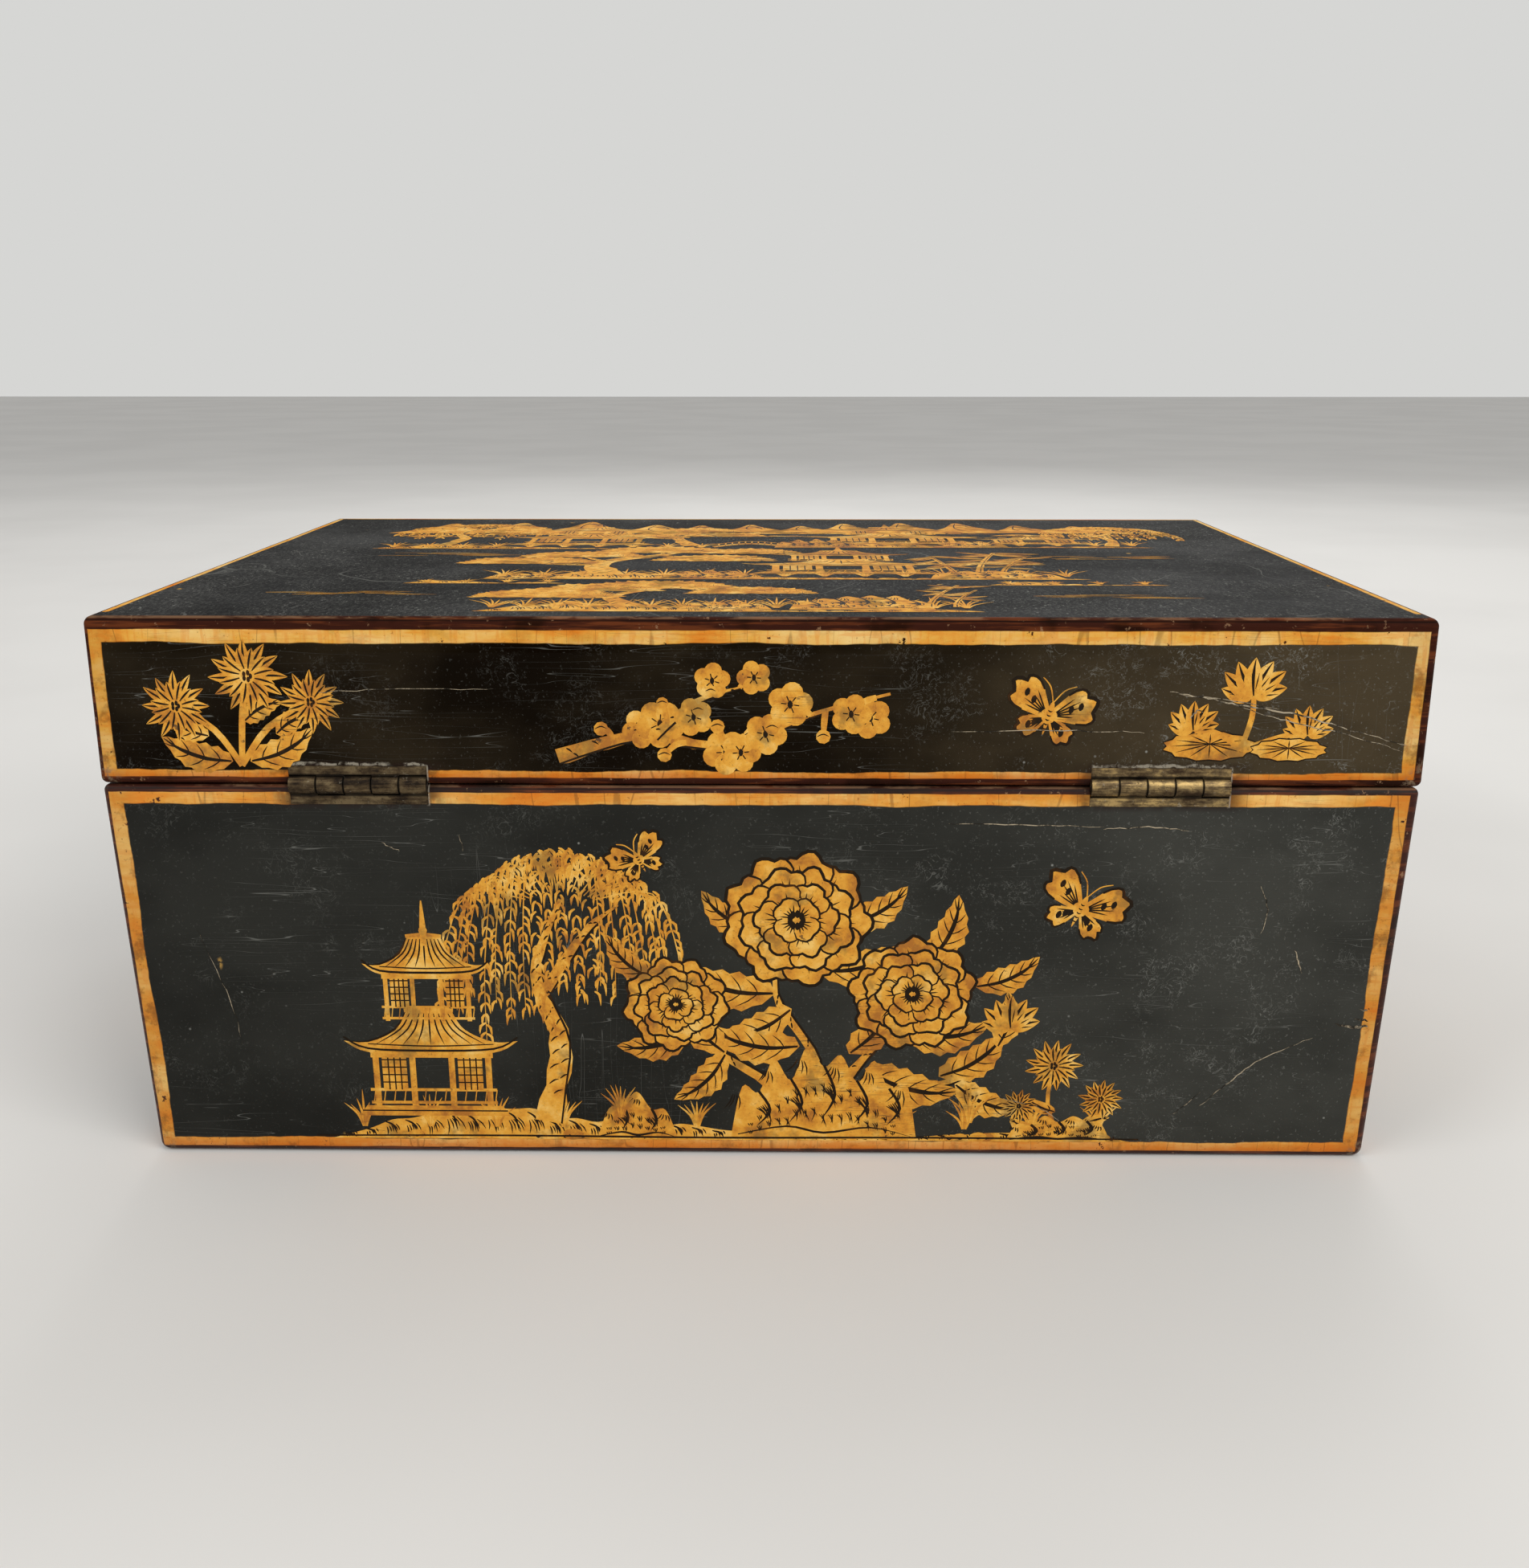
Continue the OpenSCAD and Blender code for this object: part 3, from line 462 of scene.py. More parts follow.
@dataclass(frozen=True)
class OchrePaint(Finish):
    """The ochre that fills the painted figures, with brushed light and dark."""

    name: str = "ochre_paint"
    gloss: float = 0.3

    def build(self) -> None:
        """Makes the paint."""
        g = Graph(self.name)
        own = g.add("Attribute", {"attribute_name": "tone", "attribute_type": "GEOMETRY"}, output="Fac")
        brushed = g.noise(5.5, 5, 0.62)
        tone = (brushed - 0.5) * 1.5 + own * 0.55 + 0.22
        wash = g.noise(11, 4, 0.65, g.turned(shift=(0.2, 0.3, 0.1))).step(0.53, 0.64)
        rubbed = g.noise(3.2, 5, 0.72).step(0.655, 0.69)
        rubbed = rubbed.most(g.scratches((0, 35, 10), (1, 1, 24), 24, 0.012, 0.56) * 0.8)
        gold = g.layers(
            g.ramp(tone, (0.22, paint(168, 104, 30)), (0.42, paint(208, 140, 38)),
                   (0.6, paint(224, 162, 54)), (0.84, paint(236, 190, 100))),
            (wash * 0.6, paint(122, 92, 40)),
            (g.noise(0.7, 3, 0.7).step(0.56, 0.72) * 0.5, paint(112, 64, 22)),
            (rubbed * 0.8, paint(48, 38, 28)))
        relief = brushed * 0.5 + g.noise(1.2, 3) * 0.5
        g.surface(gold, 0.5 + wash * 0.1, height=relief, relief=0.05, gloss=self.gloss)


@dataclass(frozen=True)
class Ink(Finish):
    """The dark brown pen lines over the ochre, here dense and there thin."""

    name: str = "pen_ink"

    def build(self) -> None:
        """Makes the ink."""
        g = Graph(self.name)
        thin = g.noise(6, 4, 0.65).step(0.52, 0.7)
        ink = g.blend(thin * 0.4, paint(36, 28, 20), paint(92, 56, 24))
        g.surface(ink, 0.6, height=g.noise(1.0, 2), relief=0.02, gloss=0.04)


@dataclass(frozen=True)
class AgedBrass(Finish):
    """Old brass, brown and olive where it has dulled and paler where it is rubbed."""

    name: str = "aged_brass"
    bright: Colour = paint(150, 126, 82)
    dull: Colour = paint(104, 88, 60)
    dark: Colour = paint(54, 44, 32)
    polish: float = 0.5
    knuckled: bool = False

    def build(self) -> None:
        """Makes the brass."""
        g = Graph(self.name)
        patch = g.noise(3.0, 5, 0.66, g.turned(scale=(0.6, 1, 1)))
        streak = g.noise(0.5, 3, 0.6, g.turned(scale=(0.06, 1, 1)))
        spots = g.noise(0.8, 3, 0.7).step(0.56, 0.7)
        dust = g.noise(1.5, 4, 0.7, g.turned(shift=(0.1, 0.4, 0.2))).step(0.62, 0.7)
        metal = g.layers(
            g.ramp(patch + (streak - 0.5) * 0.4, (0.36, self.dark), (0.5, self.dull), (0.64, self.bright)),
            (spots * 0.6, self.dark), (dust * 0.5, paint(150, 140, 118)))
        if self.knuckled:
            # painted shade beside the barrel and in the gaps between the knuckles
            x, _, z = g.xyz()
            off, along = abs(z - JOINT_Z), abs(abs(x) - HINGE_X)
            gap_shade = abs(along - 3.2).least(abs(along - 9.6)).step(0.42, 0.14) * off.step(2.5, 2.3)
            metal = g.blend(gap_shade.most(abs(off - 2.3).step(0.6, 0.15)) * 0.85, metal, paint(20, 16, 12))
        rough = self.polish + spots * 0.2 + dust * 0.3 - streak * 0.15
        g.surface(metal, rough, 0.9 - dust * 0.7, patch * 0.3 + spots * 0.3 + streak * 0.2, 0.03)


@dataclass(frozen=True)
class DarkIron(Finish):
    """Dull dark iron with a little rust."""

    name: str = "dark_iron"

    def build(self) -> None:
        """Makes the iron."""
        g = Graph(self.name)
        rust = g.noise(2.2, 5, 0.65).step(0.52, 0.66)
        metal = g.blend(rust, paint(96, 92, 88), paint(92, 58, 38))
        g.surface(metal, 0.5 + rust * 0.3, 0.9 - rust * 0.6, rust, 0.05)


@dataclass(frozen=True)
class Grained(Finish):
    """Wood with its grain along one axis, open pores and a waxed or a bare surface."""

    name: str
    pale: Colour
    mid: Colour
    dark: Colour
    along: Triple
    sheen: float = 0.45
    gloss: float = 0.4

    def build(self) -> None:
        """Makes the wood."""
        g = Graph(self.name)
        run = g.turned((1.5, 0, 2), self.along)
        figure = g.noise(7, 4, 0.55, run, 0.6)
        fine = g.noise(0.9, 3, 0.6, g.turned((1, 0, 1), tuple(a if a == 1 else a * 0.4 for a in self.along)))
        pores = g.noise(0.45, 2, 0.5, g.turned(scale=tuple(a if a == 1 else 0.05 for a in self.along)))
        pores, stain = pores.step(0.6, 0.68), g.noise(38, 4, 0.6).step(0.5, 0.7)
        wood = g.layers(
            g.ramp(figure * 0.7 + fine * 0.3, (0.36, self.dark), (0.5, self.mid), (0.64, self.pale)),
            (pores * 0.55, tuple(c * 0.35 for c in self.dark)), (stain * 0.4, self.dark))
        rough = self.sheen + stain * 0.12 + pores * 0.15
        g.surface(wood, rough, height=figure * 0.3 + (1 - pores) * 0.6, relief=0.05, gloss=self.gloss)


@dataclass(frozen=True)
class Velvet(Finish):
    """Faded velvet with a soft pile."""

    name: str = "faded_velvet"
    deep: Colour = paint(98, 22, 30)
    worn: Colour = paint(150, 62, 58)

    def build(self) -> None:
        """Makes the velvet."""
        g = Graph(self.name)
        rub = g.noise(22, 4, 0.6).step(0.42, 0.68)
        pile = g.noise(0.35, 2, 0.6)
        nap = g.noise(2.2, 3, 0.6, g.turned((0, 0, 12), (1, 0.35, 1)))
        cloth = g.layers(
            self.deep, (rub * 0.55, self.worn),
            (nap.step(0.4, 0.7) * 0.4, tuple(c * 0.45 for c in self.deep)),
            (pile.step(0.35, 0.7) * 0.3, self.worn))
        g.surface(cloth, 0.9, height=pile * 0.6 + nap * 0.4, relief=0.25, Sheen_Weight=0.55,
                  Sheen_Roughness=0.35, Sheen_Tint=(0.95, 0.55, 0.5), gloss=0.1)


@dataclass(frozen=True)
class Silk(Finish):
    """Ribbed silk, for ribbon, cord and the lining of the lid."""

    name: str = "ribbed_silk"
    deep: Colour = paint(120, 30, 36)
    pale: Colour = paint(172, 84, 72)
    rib: Triple = (0.05, 1, 1)
    pitch: float = 0.55

    def build(self) -> None:
        """Makes the silk."""
        g = Graph(self.name)
        ribs = g.noise(self.pitch, 1, 0.4, g.turned(scale=self.rib))
        fade = g.noise(26, 4, 0.6).step(0.4, 0.68)
        cloth = g.layers(
            self.deep, (fade * 0.6, self.pale),
            (ribs.step(0.56, 0.42) * 0.45, tuple(c * 0.5 for c in self.deep)),
            (g.noise(5, 4, 0.7).step(0.62, 0.68) * 0.3, paint(92, 60, 44)))
        g.surface(cloth, 0.5 + fade * 0.1, height=ribs, relief=0.12, Sheen_Weight=0.3,
                  Sheen_Roughness=0.3, gloss=0.35)


@dataclass(frozen=True)
class Scuff(Finish):
    """The pale line where a scratch has gone through the japan."""

    name: str = "scratch_scuff"
    pale: Colour = paint(168, 154, 130)
    thin: Colour = paint(40, 36, 30)

    def build(self) -> None:
        """Makes the scuff."""
        g = Graph(self.name)
        broken = g.noise(4.5, 5, 0.72).step(0.4, 0.58)
        g.surface(g.blend(broken, self.thin, self.pale), 0.8, height=broken, relief=0.03, gloss=0.1)


@dataclass
class Studio:
    """Camera, pale floor, soft lamps and pale surroundings."""

    camera_at: Triple = (0.0053, -0.4432, 0.1935)
    pitch: float = 15.9
    yaw: float = 0.65
    lens: float = 35.19
    floor_half: float = 6.0

    def camera(self) -> None:
        """Stands the camera behind the box, looking down at the hinged back."""
        data = bpy.data.cameras.new("camera")
        data.lens = self.lens
        data.sensor_width = 36.0
        data.clip_start = 0.01
        eye = linked("camera", data)
        eye.location = self.camera_at
        eye.rotation_euler = (radians(90 - self.pitch), 0, radians(self.yaw))
        bpy.context.scene.camera = eye

    def floor(self) -> None:
        """Lays the pale floor under the box."""
        bpy.ops.mesh.primitive_plane_add(size=2 * self.floor_half, location=(0, 0, 0))
        plane = bpy.context.active_object
        plane.name = "floor"
        g = Graph("pale_floor")
        soft = g.noise(260, 3, 0.5)
        tint = g.blend(soft.step(0.35, 0.65) * 0.5, paint(226, 224, 220), paint(216, 214, 210))
        g.surface(tint, 0.7, gloss=0.2)
        plane.data.materials.append(g.owner)

    def lamp(self, name: str, at: Triple, size: float, watts: float, tint: Colour = (1, 1, 1)) -> None:
        """Hangs a soft square lamp that faces the box.

        Args:
            name: Its name.
            at, size: Its place and the side of its square in metres.
            watts, tint: Its power and its colour.
        """
        data = bpy.data.lights.new(name, "AREA")
        data.size = size
        data.energy = watts
        data.color = tint
        lamp = linked(name, data)
        lamp.location = at
        lamp.rotation_euler = (Vector((0, 0, 0.06)) - Vector(at)).to_track_quat("-Z", "Y").to_euler()

    def surroundings(self) -> None:
        """Sets the world: dim light for the box, a pale ground for the eye and for gloss."""
        g = Graph("surroundings", world=True)
        bpy.context.scene.world = g.owner
        eye, gloss, through = (g.add("LightPath", output=f"Is {ray} Ray")
                               for ray in ("Camera", "Glossy", "Transmission"))
        seen = g.add("Math", {"operation": "ADD", "use_clamp": True}, {0: eye, 1: gloss + through})
        light = g.add("Background", {}, {"Color": (1.0, 1.0, 1.0), "Strength": 0.5})
        view = g.add("Background", {}, {"Color": paint(214, 214, 212), "Strength": 1.0})
        g.add("OutputWorld", {}, {"Surface": g.add("MixShader", {}, {0: seen, 1: light, 2: view})})

    def build(self) -> None:
        """Sets up the whole studio."""
        self.camera()
        self.floor()
        self.lamp("key_lamp", (1.1, -1.2, 1.3), 1.2, 20.0, (1.0, 0.99, 0.97))
        self.lamp("fill_lamp", (-1.3, -0.9, 1.0), 1.0, 9.0, (0.96, 0.98, 1.0))
        self.lamp("far_lamp", (0.2, 1.3, 1.2), 1.2, 9.0)
        self.surroundings()
        bpy.context.scene.view_settings.view_transform = "Standard"


def smooth(points: Sequence[Point], parts: int = 5, closed: bool = False) -> list[Point]:
    """A smooth curve through some points.

    Args:
        points: Those points.
        parts: Short lengths between one and the next.
        closed: Whether it runs back to its start.

    Returns:
        The points of the curve.
    """
    n = len(points)
    curve = []
    for i in range(n if closed else n - 1):
        near = [points[j % n] if closed else points[min(max(j, 0), n - 1)] for j in range(i - 1, i + 3)]
        for k in range(parts):
            t = k / parts
            curve.append(tuple(0.5 * (2 * b + (c - a) * t + (2 * a - 5 * b + 4 * c - d) * t * t
                                      + (3 * b - a - 3 * c + d) * t ** 3) for a, b, c, d in zip(*near)))
    return curve if closed else curve + [tuple(points[-1])]


def ring(x: float, y: float, r: float, count: int, flat: float = 1.0) -> list[Point]:
    """Points round a circle, or round an ellipse when its height is a share of its width."""
    return [(x + r * cos(tau * k / count), y + r * flat * sin(tau * k / count)) for k in range(count)]


def polar(x: float, y: float, r: float, turn: float) -> Point:
    """The point at a distance r from a place, in a direction in radians."""
    return (x + r * cos(turn), y + r * sin(turn))


def block(x0: float, y0: float, x1: float, y1: float) -> list[Point]:
    """The corners of an upright rectangle."""
    return [(x0, y0), (x1, y0), (x1, y1), (x0, y1)]


def between(a: Point, b: Point, share: float) -> Point:
    """The point at a share of the way from a to b."""
    return (a[0] + (b[0] - a[0]) * share, a[1] + (b[1] - a[1]) * share)


@dataclass
class Mark:
    """One closed shape of a drawing, a dark line or ochre of a lighter or darker tone."""

    edge: list[Point]
    ink: bool
    tone: float

    def covers(self, x: float, y: float) -> bool:
        """Whether the shape runs round a point, by the turns that its edge makes about it.

        Args:
            x, y: The point.

        Returns:
            True where it does.
        """
        turns = 0
        last = self.edge[-1]
        for here in self.edge:
            if (last[1] <= y) != (here[1] <= y):
                side = (here[0] - last[0]) * (y - last[1]) - (x - last[0]) * (here[1] - last[1])
                if here[1] > last[1] and side > 0:
                    turns += 1
                elif here[1] <= last[1] and side < 0:
                    turns -= 1
            last = here
        return turns != 0


Cut = tuple[list[Vector], list[Sequence[int]], list[Mark | None]]


def stations(run: Sequence[Point]) -> Iterable[tuple[float, Point, Point]]:
    """Goes along a run of points.

    Args:
        run: The points.

    Yields:
        Each point's share of the way, its place and the direction square to the run, to its left.
    """
    for i, here in enumerate(run):
        before, after = run[max(i - 1, 0)], run[min(i + 1, len(run) - 1)]
        u, v = after[0] - before[0], after[1] - before[1]
        size = hypot(u, v) or 1.0
        yield i / (len(run) - 1), here, (-v / size, u / size)


def sides(corners: Sequence[int]) -> Iterable[tuple[int, int]]:
    """The sides of a face, each from one corner to the next."""
    return zip(corners, (*corners[1:], corners[0]))


class Pen:
    """Draws on one flat face in millimetres: ochre shapes, each over the one before, with dark lines."""

    def __init__(self, seed: int) -> None:
        """Starts a bare face.

        Args:
            seed: Seed of its small chances.
        """
        self.chance = random.Random(seed)
        self.some = self.chance.uniform
        self.marks: list[Mark] = []
        self.at()

    def at(self, x: float = 0.0, y: float = 0.0, turn: float = 0.0, flip: bool = False) -> Self:
        """Sets where the next motif goes: its origin, turn in degrees and whether it is mirrored."""
        self.place = (x, y, radians(turn), -1.0 if flip else 1.0)
        return self

    def put(self, point: Point) -> Point:
        """A motif's own point as a point of the face."""
        x, y, turn, flip = self.place
        u, v = point[0] * flip, point[1]
        return (x + u * cos(turn) - v * sin(turn), y + u * sin(turn) + v * cos(turn))

    def near(self, value: float, share: float = 0.15) -> float:
        """The value, a little off by chance."""
        return value * (1 + self.some(-share, share))

    def keep(self, edge: list[Point], ink: bool) -> None:
        """Keeps a mark, its edge run anticlockwise."""
        area = sum(a[0] * b[1] - b[0] * a[1] for a, b in zip(edge, edge[1:] + edge[:1]))
        self.marks.append(Mark(edge if area > 0 else edge[::-1], ink, 0.5 + self.some(-0.22, 0.22)))

    def fill(self, outline: Sequence[Point]) -> None:
        """Paints a closed shape in ochre, over all that is there."""
        self.keep([self.put(p) for p in outline], False)

    def outlined(self, outline: Sequence[Point], width: float, ends: float = 0.8) -> None:
        """Paints a closed shape in ochre and goes round it with the pen."""
        self.fill(outline)
        self.line([*outline, outline[0]], width, head=ends, tail=ends, parts=1)

    def bar(self, start: Point, end: Point, width: float, ink: bool = True) -> None:
        """Draws a short straight stroke of even width."""
        self.line([start, end], width, ink, 1, 1, 1)

    def line(self, points: Sequence[Point], width: float, ink: bool = True, head: float = 0.45,
             tail: float = 0.12, parts: int = 4) -> None:
        """Draws a line that swells in its middle and thins to its ends.

        Args:
            points: Places that it passes.
            width: Width at its widest.
            ink: Dark ink, or ochre.
            head, tail: Share of the width at its start and at its end.
            parts: Short lengths between one place and the next.
        """
        width *= NIB if ink else 1.0
        left, right = [], []
        for t, (u, v), (du, dv) in stations([self.put(p) for p in smooth(points, parts)]):
            if t < 0.5:
                swell = head + (1 - head) * min(t / 0.35, 1)
            else:
                swell = tail + (1 - tail) * min((1 - t) / 0.4, 1)
            half = width / 2 * swell
            left.append((u + du * half, v + dv * half))
            right.append((u - du * half, v - dv * half))
        self.keep(left + right[::-1], ink)

    def dot(self, x: float, y: float, r: float) -> None:
        """A small round dot."""
        self.line([(x - r, y), (x, y), (x + r, y)], 2 * r, True, 0.35, 0.35, 2)

    def hatch(self, x: float, y: float, turn: float, length: float, gap: float, count: int,
              width: float, spread: float) -> None:
        """A row of short curved strokes side by side.

        Args:
            x, y: Start of the row.
            turn, length, width: Direction in degrees and size of a stroke.
            gap, count: Distance between strokes, and how many.
            spread: Turn from the first stroke to the last in degrees.
        """
        for k in range(count):
            a = radians(turn + spread * (k / max(count - 1, 1) - 0.5) + self.some(-8, 8))
            u, v = polar(x, y, gap * k, radians(turn - 90))
            far = self.near(length, 0.25)
            self.line([(u, v), polar(u, v, far * 0.5, a + 0.18), polar(u, v, far, a)], width, parts=2)

    def cut(self) -> Cut:
        """Cuts the face along the edge of every mark, where the last mark made is the one that shows.

        Returns:
            The points, the corners of the triangles and the mark that shows on each.
        """
        points, rings = [], []
        for mark in self.marks:
            rings.append(list(range(len(points), len(points) + len(mark.edge))))
            points += [Vector(p) for p in mark.edge]
        flat, _, corners, _, _, over = delaunay_2d_cdt(points, [], rings, 1, 1e-5, True)
        shown = []
        for corner, marks in zip(corners, over):
            x, y = (sum(flat[k][axis] for k in corner) / len(corner) for axis in (0, 1))
            on = (self.marks[k] for k in sorted(marks, reverse=True))
            shown.append(next((mark for mark in on if mark.covers(x, y)), None))
        return flat, corners, shown

    def thinned(self) -> Cut:
        """Cuts the face again, only where one mark that shows meets another or the bare ground.

        Returns:
            The same as cut.
        """
        flat, corners, shown = self.cut()
        left = {side: mark for corner, mark in zip(corners, shown) for side in sides(corner)}
        rims = [(a, b) for (a, b), mark in left.items()
                if left.get((b, a)) is not mark and ((b, a) not in left or a < b)]
        number = {k: i for i, k in enumerate(sorted({k for rim in rims for k in rim}))}
        spots, edges, corners, _, came, _ = delaunay_2d_cdt(
            [flat[k] for k in number], [(number[a], number[b]) for a, b in rims], [], 0, 1e-5, True)
        beside: dict[tuple[int, int], Mark | None] = {}
        for (u, v), rim in zip(edges, came):
            if rim:
                a, b = rims[rim[0]]
                pair = (left[a, b], left.get((b, a)))
                ahead = (spots[v] - spots[u]).dot(flat[b] - flat[a]) > 0
                beside[u, v], beside[v, u] = pair if ahead else pair[::-1]
        owner = {side: k for k, corner in enumerate(corners) for side in sides(corner)}
        found: dict[int, Mark | None] = {}
        for first, corner in enumerate(corners):
            known = [side for side in sides(corner) if side in beside]
            if first in found or not known:
                continue
            found[first] = beside[known[0]]
            queue = [first]
            while queue:
                here = queue.pop()
                for a, b in sides(corners[here]):
                    near = owner.get((b, a), here)
                    if (a, b) not in beside and near not in found:
                        found[near] = found[here]
                        queue.append(near)
        return spots, corners, [found.get(k) for k in range(len(corners))]

    def meshes(self, name: str, spot: Callable[[float, float, float], Vector],
               lift: float = 0.05) -> tuple[Object, Object]:
        """Flattens the drawing into one layer.

        Args:
            name: First word of the pieces' names.
            spot: Gives the place of a point of the face at a lift.
            lift: Height of the flat layer above the face.

        Returns:
            The ochre piece and the ink piece.
        """
        flat, corners, shown = self.thinned()
        made = []
        for ink, word in ((False, "painting"), (True, "pen_lines")):
            used: dict[int, int] = {}
            faces, tones = [], []
            for corner, mark in zip(corners, shown):
                if mark and mark.ink is ink:
                    faces.append([used.setdefault(k, len(used)) for k in corner])
                    tones.append(mark.tone)
            piece = from_mesh(f"{name}_{word}", [spot(*flat[k], lift) for k in used], faces)
            piece.data.attributes.new("tone", "FLOAT", "FACE").data.foreach_set("value", tones)
            made.append(piece)
        return tuple(made)


class Garden(Pen):
    """The pen's stock of garden, water and flower motifs."""

    def leaf(self, x: float, y: float, turn: float, length: float, width: float, bend: float = 0.15,
             veins: int = 4, teeth: float = 0.0) -> None:
        """A pointed leaf with midrib and veins.

        Args:
            x, y: Its foot.
            turn: Its direction in degrees.
            length, width: Its size.
            bend: Curl to the left, as a share of the length.
            veins: Veins on each side.
            teeth: Depth of its notches.
        """
        a = radians(turn)
        steps = 12

        def spot(t: float, off: float) -> Point:
            """A point at t along the midrib and off to its side."""
            u, v = t * length, bend * length * sin(pi * t * 0.9) + off
            return (x + u * cos(a) - v * sin(a), y + u * sin(a) + v * cos(a))

        def half(t: float) -> float:
            """Half of the width at t."""
            return width / 2 * sin(pi * min(t, 1) ** 0.75) ** 0.8 if 0 < t < 1 else 0.0

        edge = [(k, 1) for k in range(steps + 1)] + [(k, -1) for k in range(steps - 1, 0, -1)]
        self.fill([spot(k / steps, side * half(k / steps) * (1 + (teeth if k % 2 else -teeth)))
                   for k, side in edge])
        self.line([spot(0.02, 0), spot(0.35, 0), spot(0.7, 0), spot(0.97, 0)], width * 0.055 + 0.16)
        for k in range(veins):
            t = 0.16 + 0.62 * k / max(veins - 1, 1)
            for side in (1, -1):
                reach = half(t + 0.12) * 0.82 * side
                self.line([spot(t, 0), spot(t + 0.07, reach * 0.55), spot(t + 0.17, reach)], 0.2, parts=2)

    def petal(self, x: float, y: float, turn: float, size: float, lobes: int = 3, wide: float = 70.0) -> None:
        """A ruffled petal that opens away from its foot.

        Args:
            x, y: Its foot.
            turn: Direction it opens in degrees.
            size: Its length.
            lobes: Ruffles along its edge.
            wide: Half of its spread in degrees.
        """
        edge = []
        steps = lobes * 5
        for k in range(steps + 1):
            s = k / steps * 2 - 1
            a = radians(turn + s * wide)
            r = size * (0.62 + 0.38 * cos(s * pi / 2) ** 0.6)
            r *= 0.9 + 0.14 * abs(sin(pi * lobes * (k / steps))) + self.some(-0.03, 0.03)
            edge.append(polar(x, y, r, a))
        self.fill(edge + [polar(x, y, -size * 0.22, radians(turn))])
        self.line(edge, size * 0.035 + 0.16, head=0.5, tail=0.5, parts=1)
        for k in range(5):
            a = radians(turn + (k - 2) * wide * 0.3)
            far = size * self.near(0.58, 0.2)
            self.line([polar(x, y, size * 0.12, a), polar(x, y, far, a)], 0.22, head=0.9, tail=0.1, parts=3)

    def peony(self, x: float, y: float, r: float, turn: float = 0.0) -> None:
        """A full peony, drawn from its outer petals in.

        Args:
            x, y, r: Its middle and its radius.
            turn: Turn in degrees.
        """
        rows = ((9, 0.5, 0.52), (8, 0.34, 0.46), (6, 0.18, 0.4), (4, 0.05, 0.3))
        for row, (count, reach, size) in enumerate(rows):
            for k in range(count):
                a = turn + 360 * (k + 0.5 * (row % 2)) / count + self.some(-6, 6)
                c = radians(a)
                self.petal(x + reach * r * cos(c), y + reach * r * sin(c) * 0.92, a, size * r,
                           3 if row < 3 else 2)
        for k in range(9):
            self.dot(*polar(x, y, 0.09 * r, radians(40 * k)), 0.028 * r + 0.12)

    def aster(self, x: float, y: float, r: float, count: int = 15) -> None:
        """A round daisy with two rows of narrow petals.

        Args:
            x, y, r: Its middle and its radius.
            count: Petals in a row.
        """
        for size, shift in ((1.0, 0.0), (0.68, 0.5)):
            for k in range(count):
                a = 360 * (k + shift) / count + self.some(-3, 3)
                self.leaf(*polar(x, y, 0.16 * r, radians(a)), a, r * size * self.near(0.84, 0.06),
                          r * 0.27 * (0.8 + 0.2 * size), 0.04, 0)
        self.fill(ring(x, y, r * 0.2, 12))
        self.line(ring(x, y, r * 0.2, 10) + [(x + r * 0.2, y)], 0.22, head=1, tail=1, parts=2)
        for k in range(5):
            self.dot(*polar(x, y, 0.09 * r, radians(72 * k)), 0.035 * r + 0.08)

    def blossom(self, x: float, y: float, r: float, turn: float = 0.0) -> None:
        """A plum blossom of five round petals.

        Args:
            x, y, r: Its middle and its radius.
            turn: Turn in degrees.
        """
        for k in range(5):
            u, v = polar(x, y, 0.55 * r, radians(turn + 72 * k))
            self.outlined(ring(u, v, 0.5 * r, 14), 0.3)
        self.fill(ring(x, y, 0.22 * r, 10))
        for k in range(6):
            a = radians(turn + 60 * k + 20)
            self.line([polar(x, y, 0.16 * r, a), polar(x, y, 0.42 * r, a)], 0.17, head=0.6, tail=0.9)
        self.dot(x, y, 0.1 * r + 0.08)

    def twig(self, points: Sequence[Point], width: float) -> None:
        """A branch or trunk that thins to its end, with bark strokes.

        Args:
            points, width: Places that it passes, and its width at its foot.
        """
        run = smooth(points, 6)
        left, right = [], []
        for t, (u, v), (du, dv) in stations(run):
            half = width / 2 * (1 - 0.82 * t)
            left.append((u + du * self.near(half, KNOTS), v + dv * self.near(half, KNOTS)))
            right.append((u - du * self.near(half, KNOTS), v - dv * self.near(half, KNOTS)))
        self.fill(left + right[::-1])
        if width > 1.2:
            self.line(right[::3], 0.32, head=0.8, tail=0.3, parts=3)
            for i in range(1, len(run) - 2, 1 if width > 4 else 2):
                a, b = left[i], right[i + 1]
                for s, e in ((0.12, 0.5), (0.55, 0.9)):
                    if self.chance.random() < 0.8:
                        u, v = between(a, b, (s + e) / 2)
                        self.line([between(a, b, s), (u, v + width * 0.05), between(a, b, e)], 0.26, parts=2)

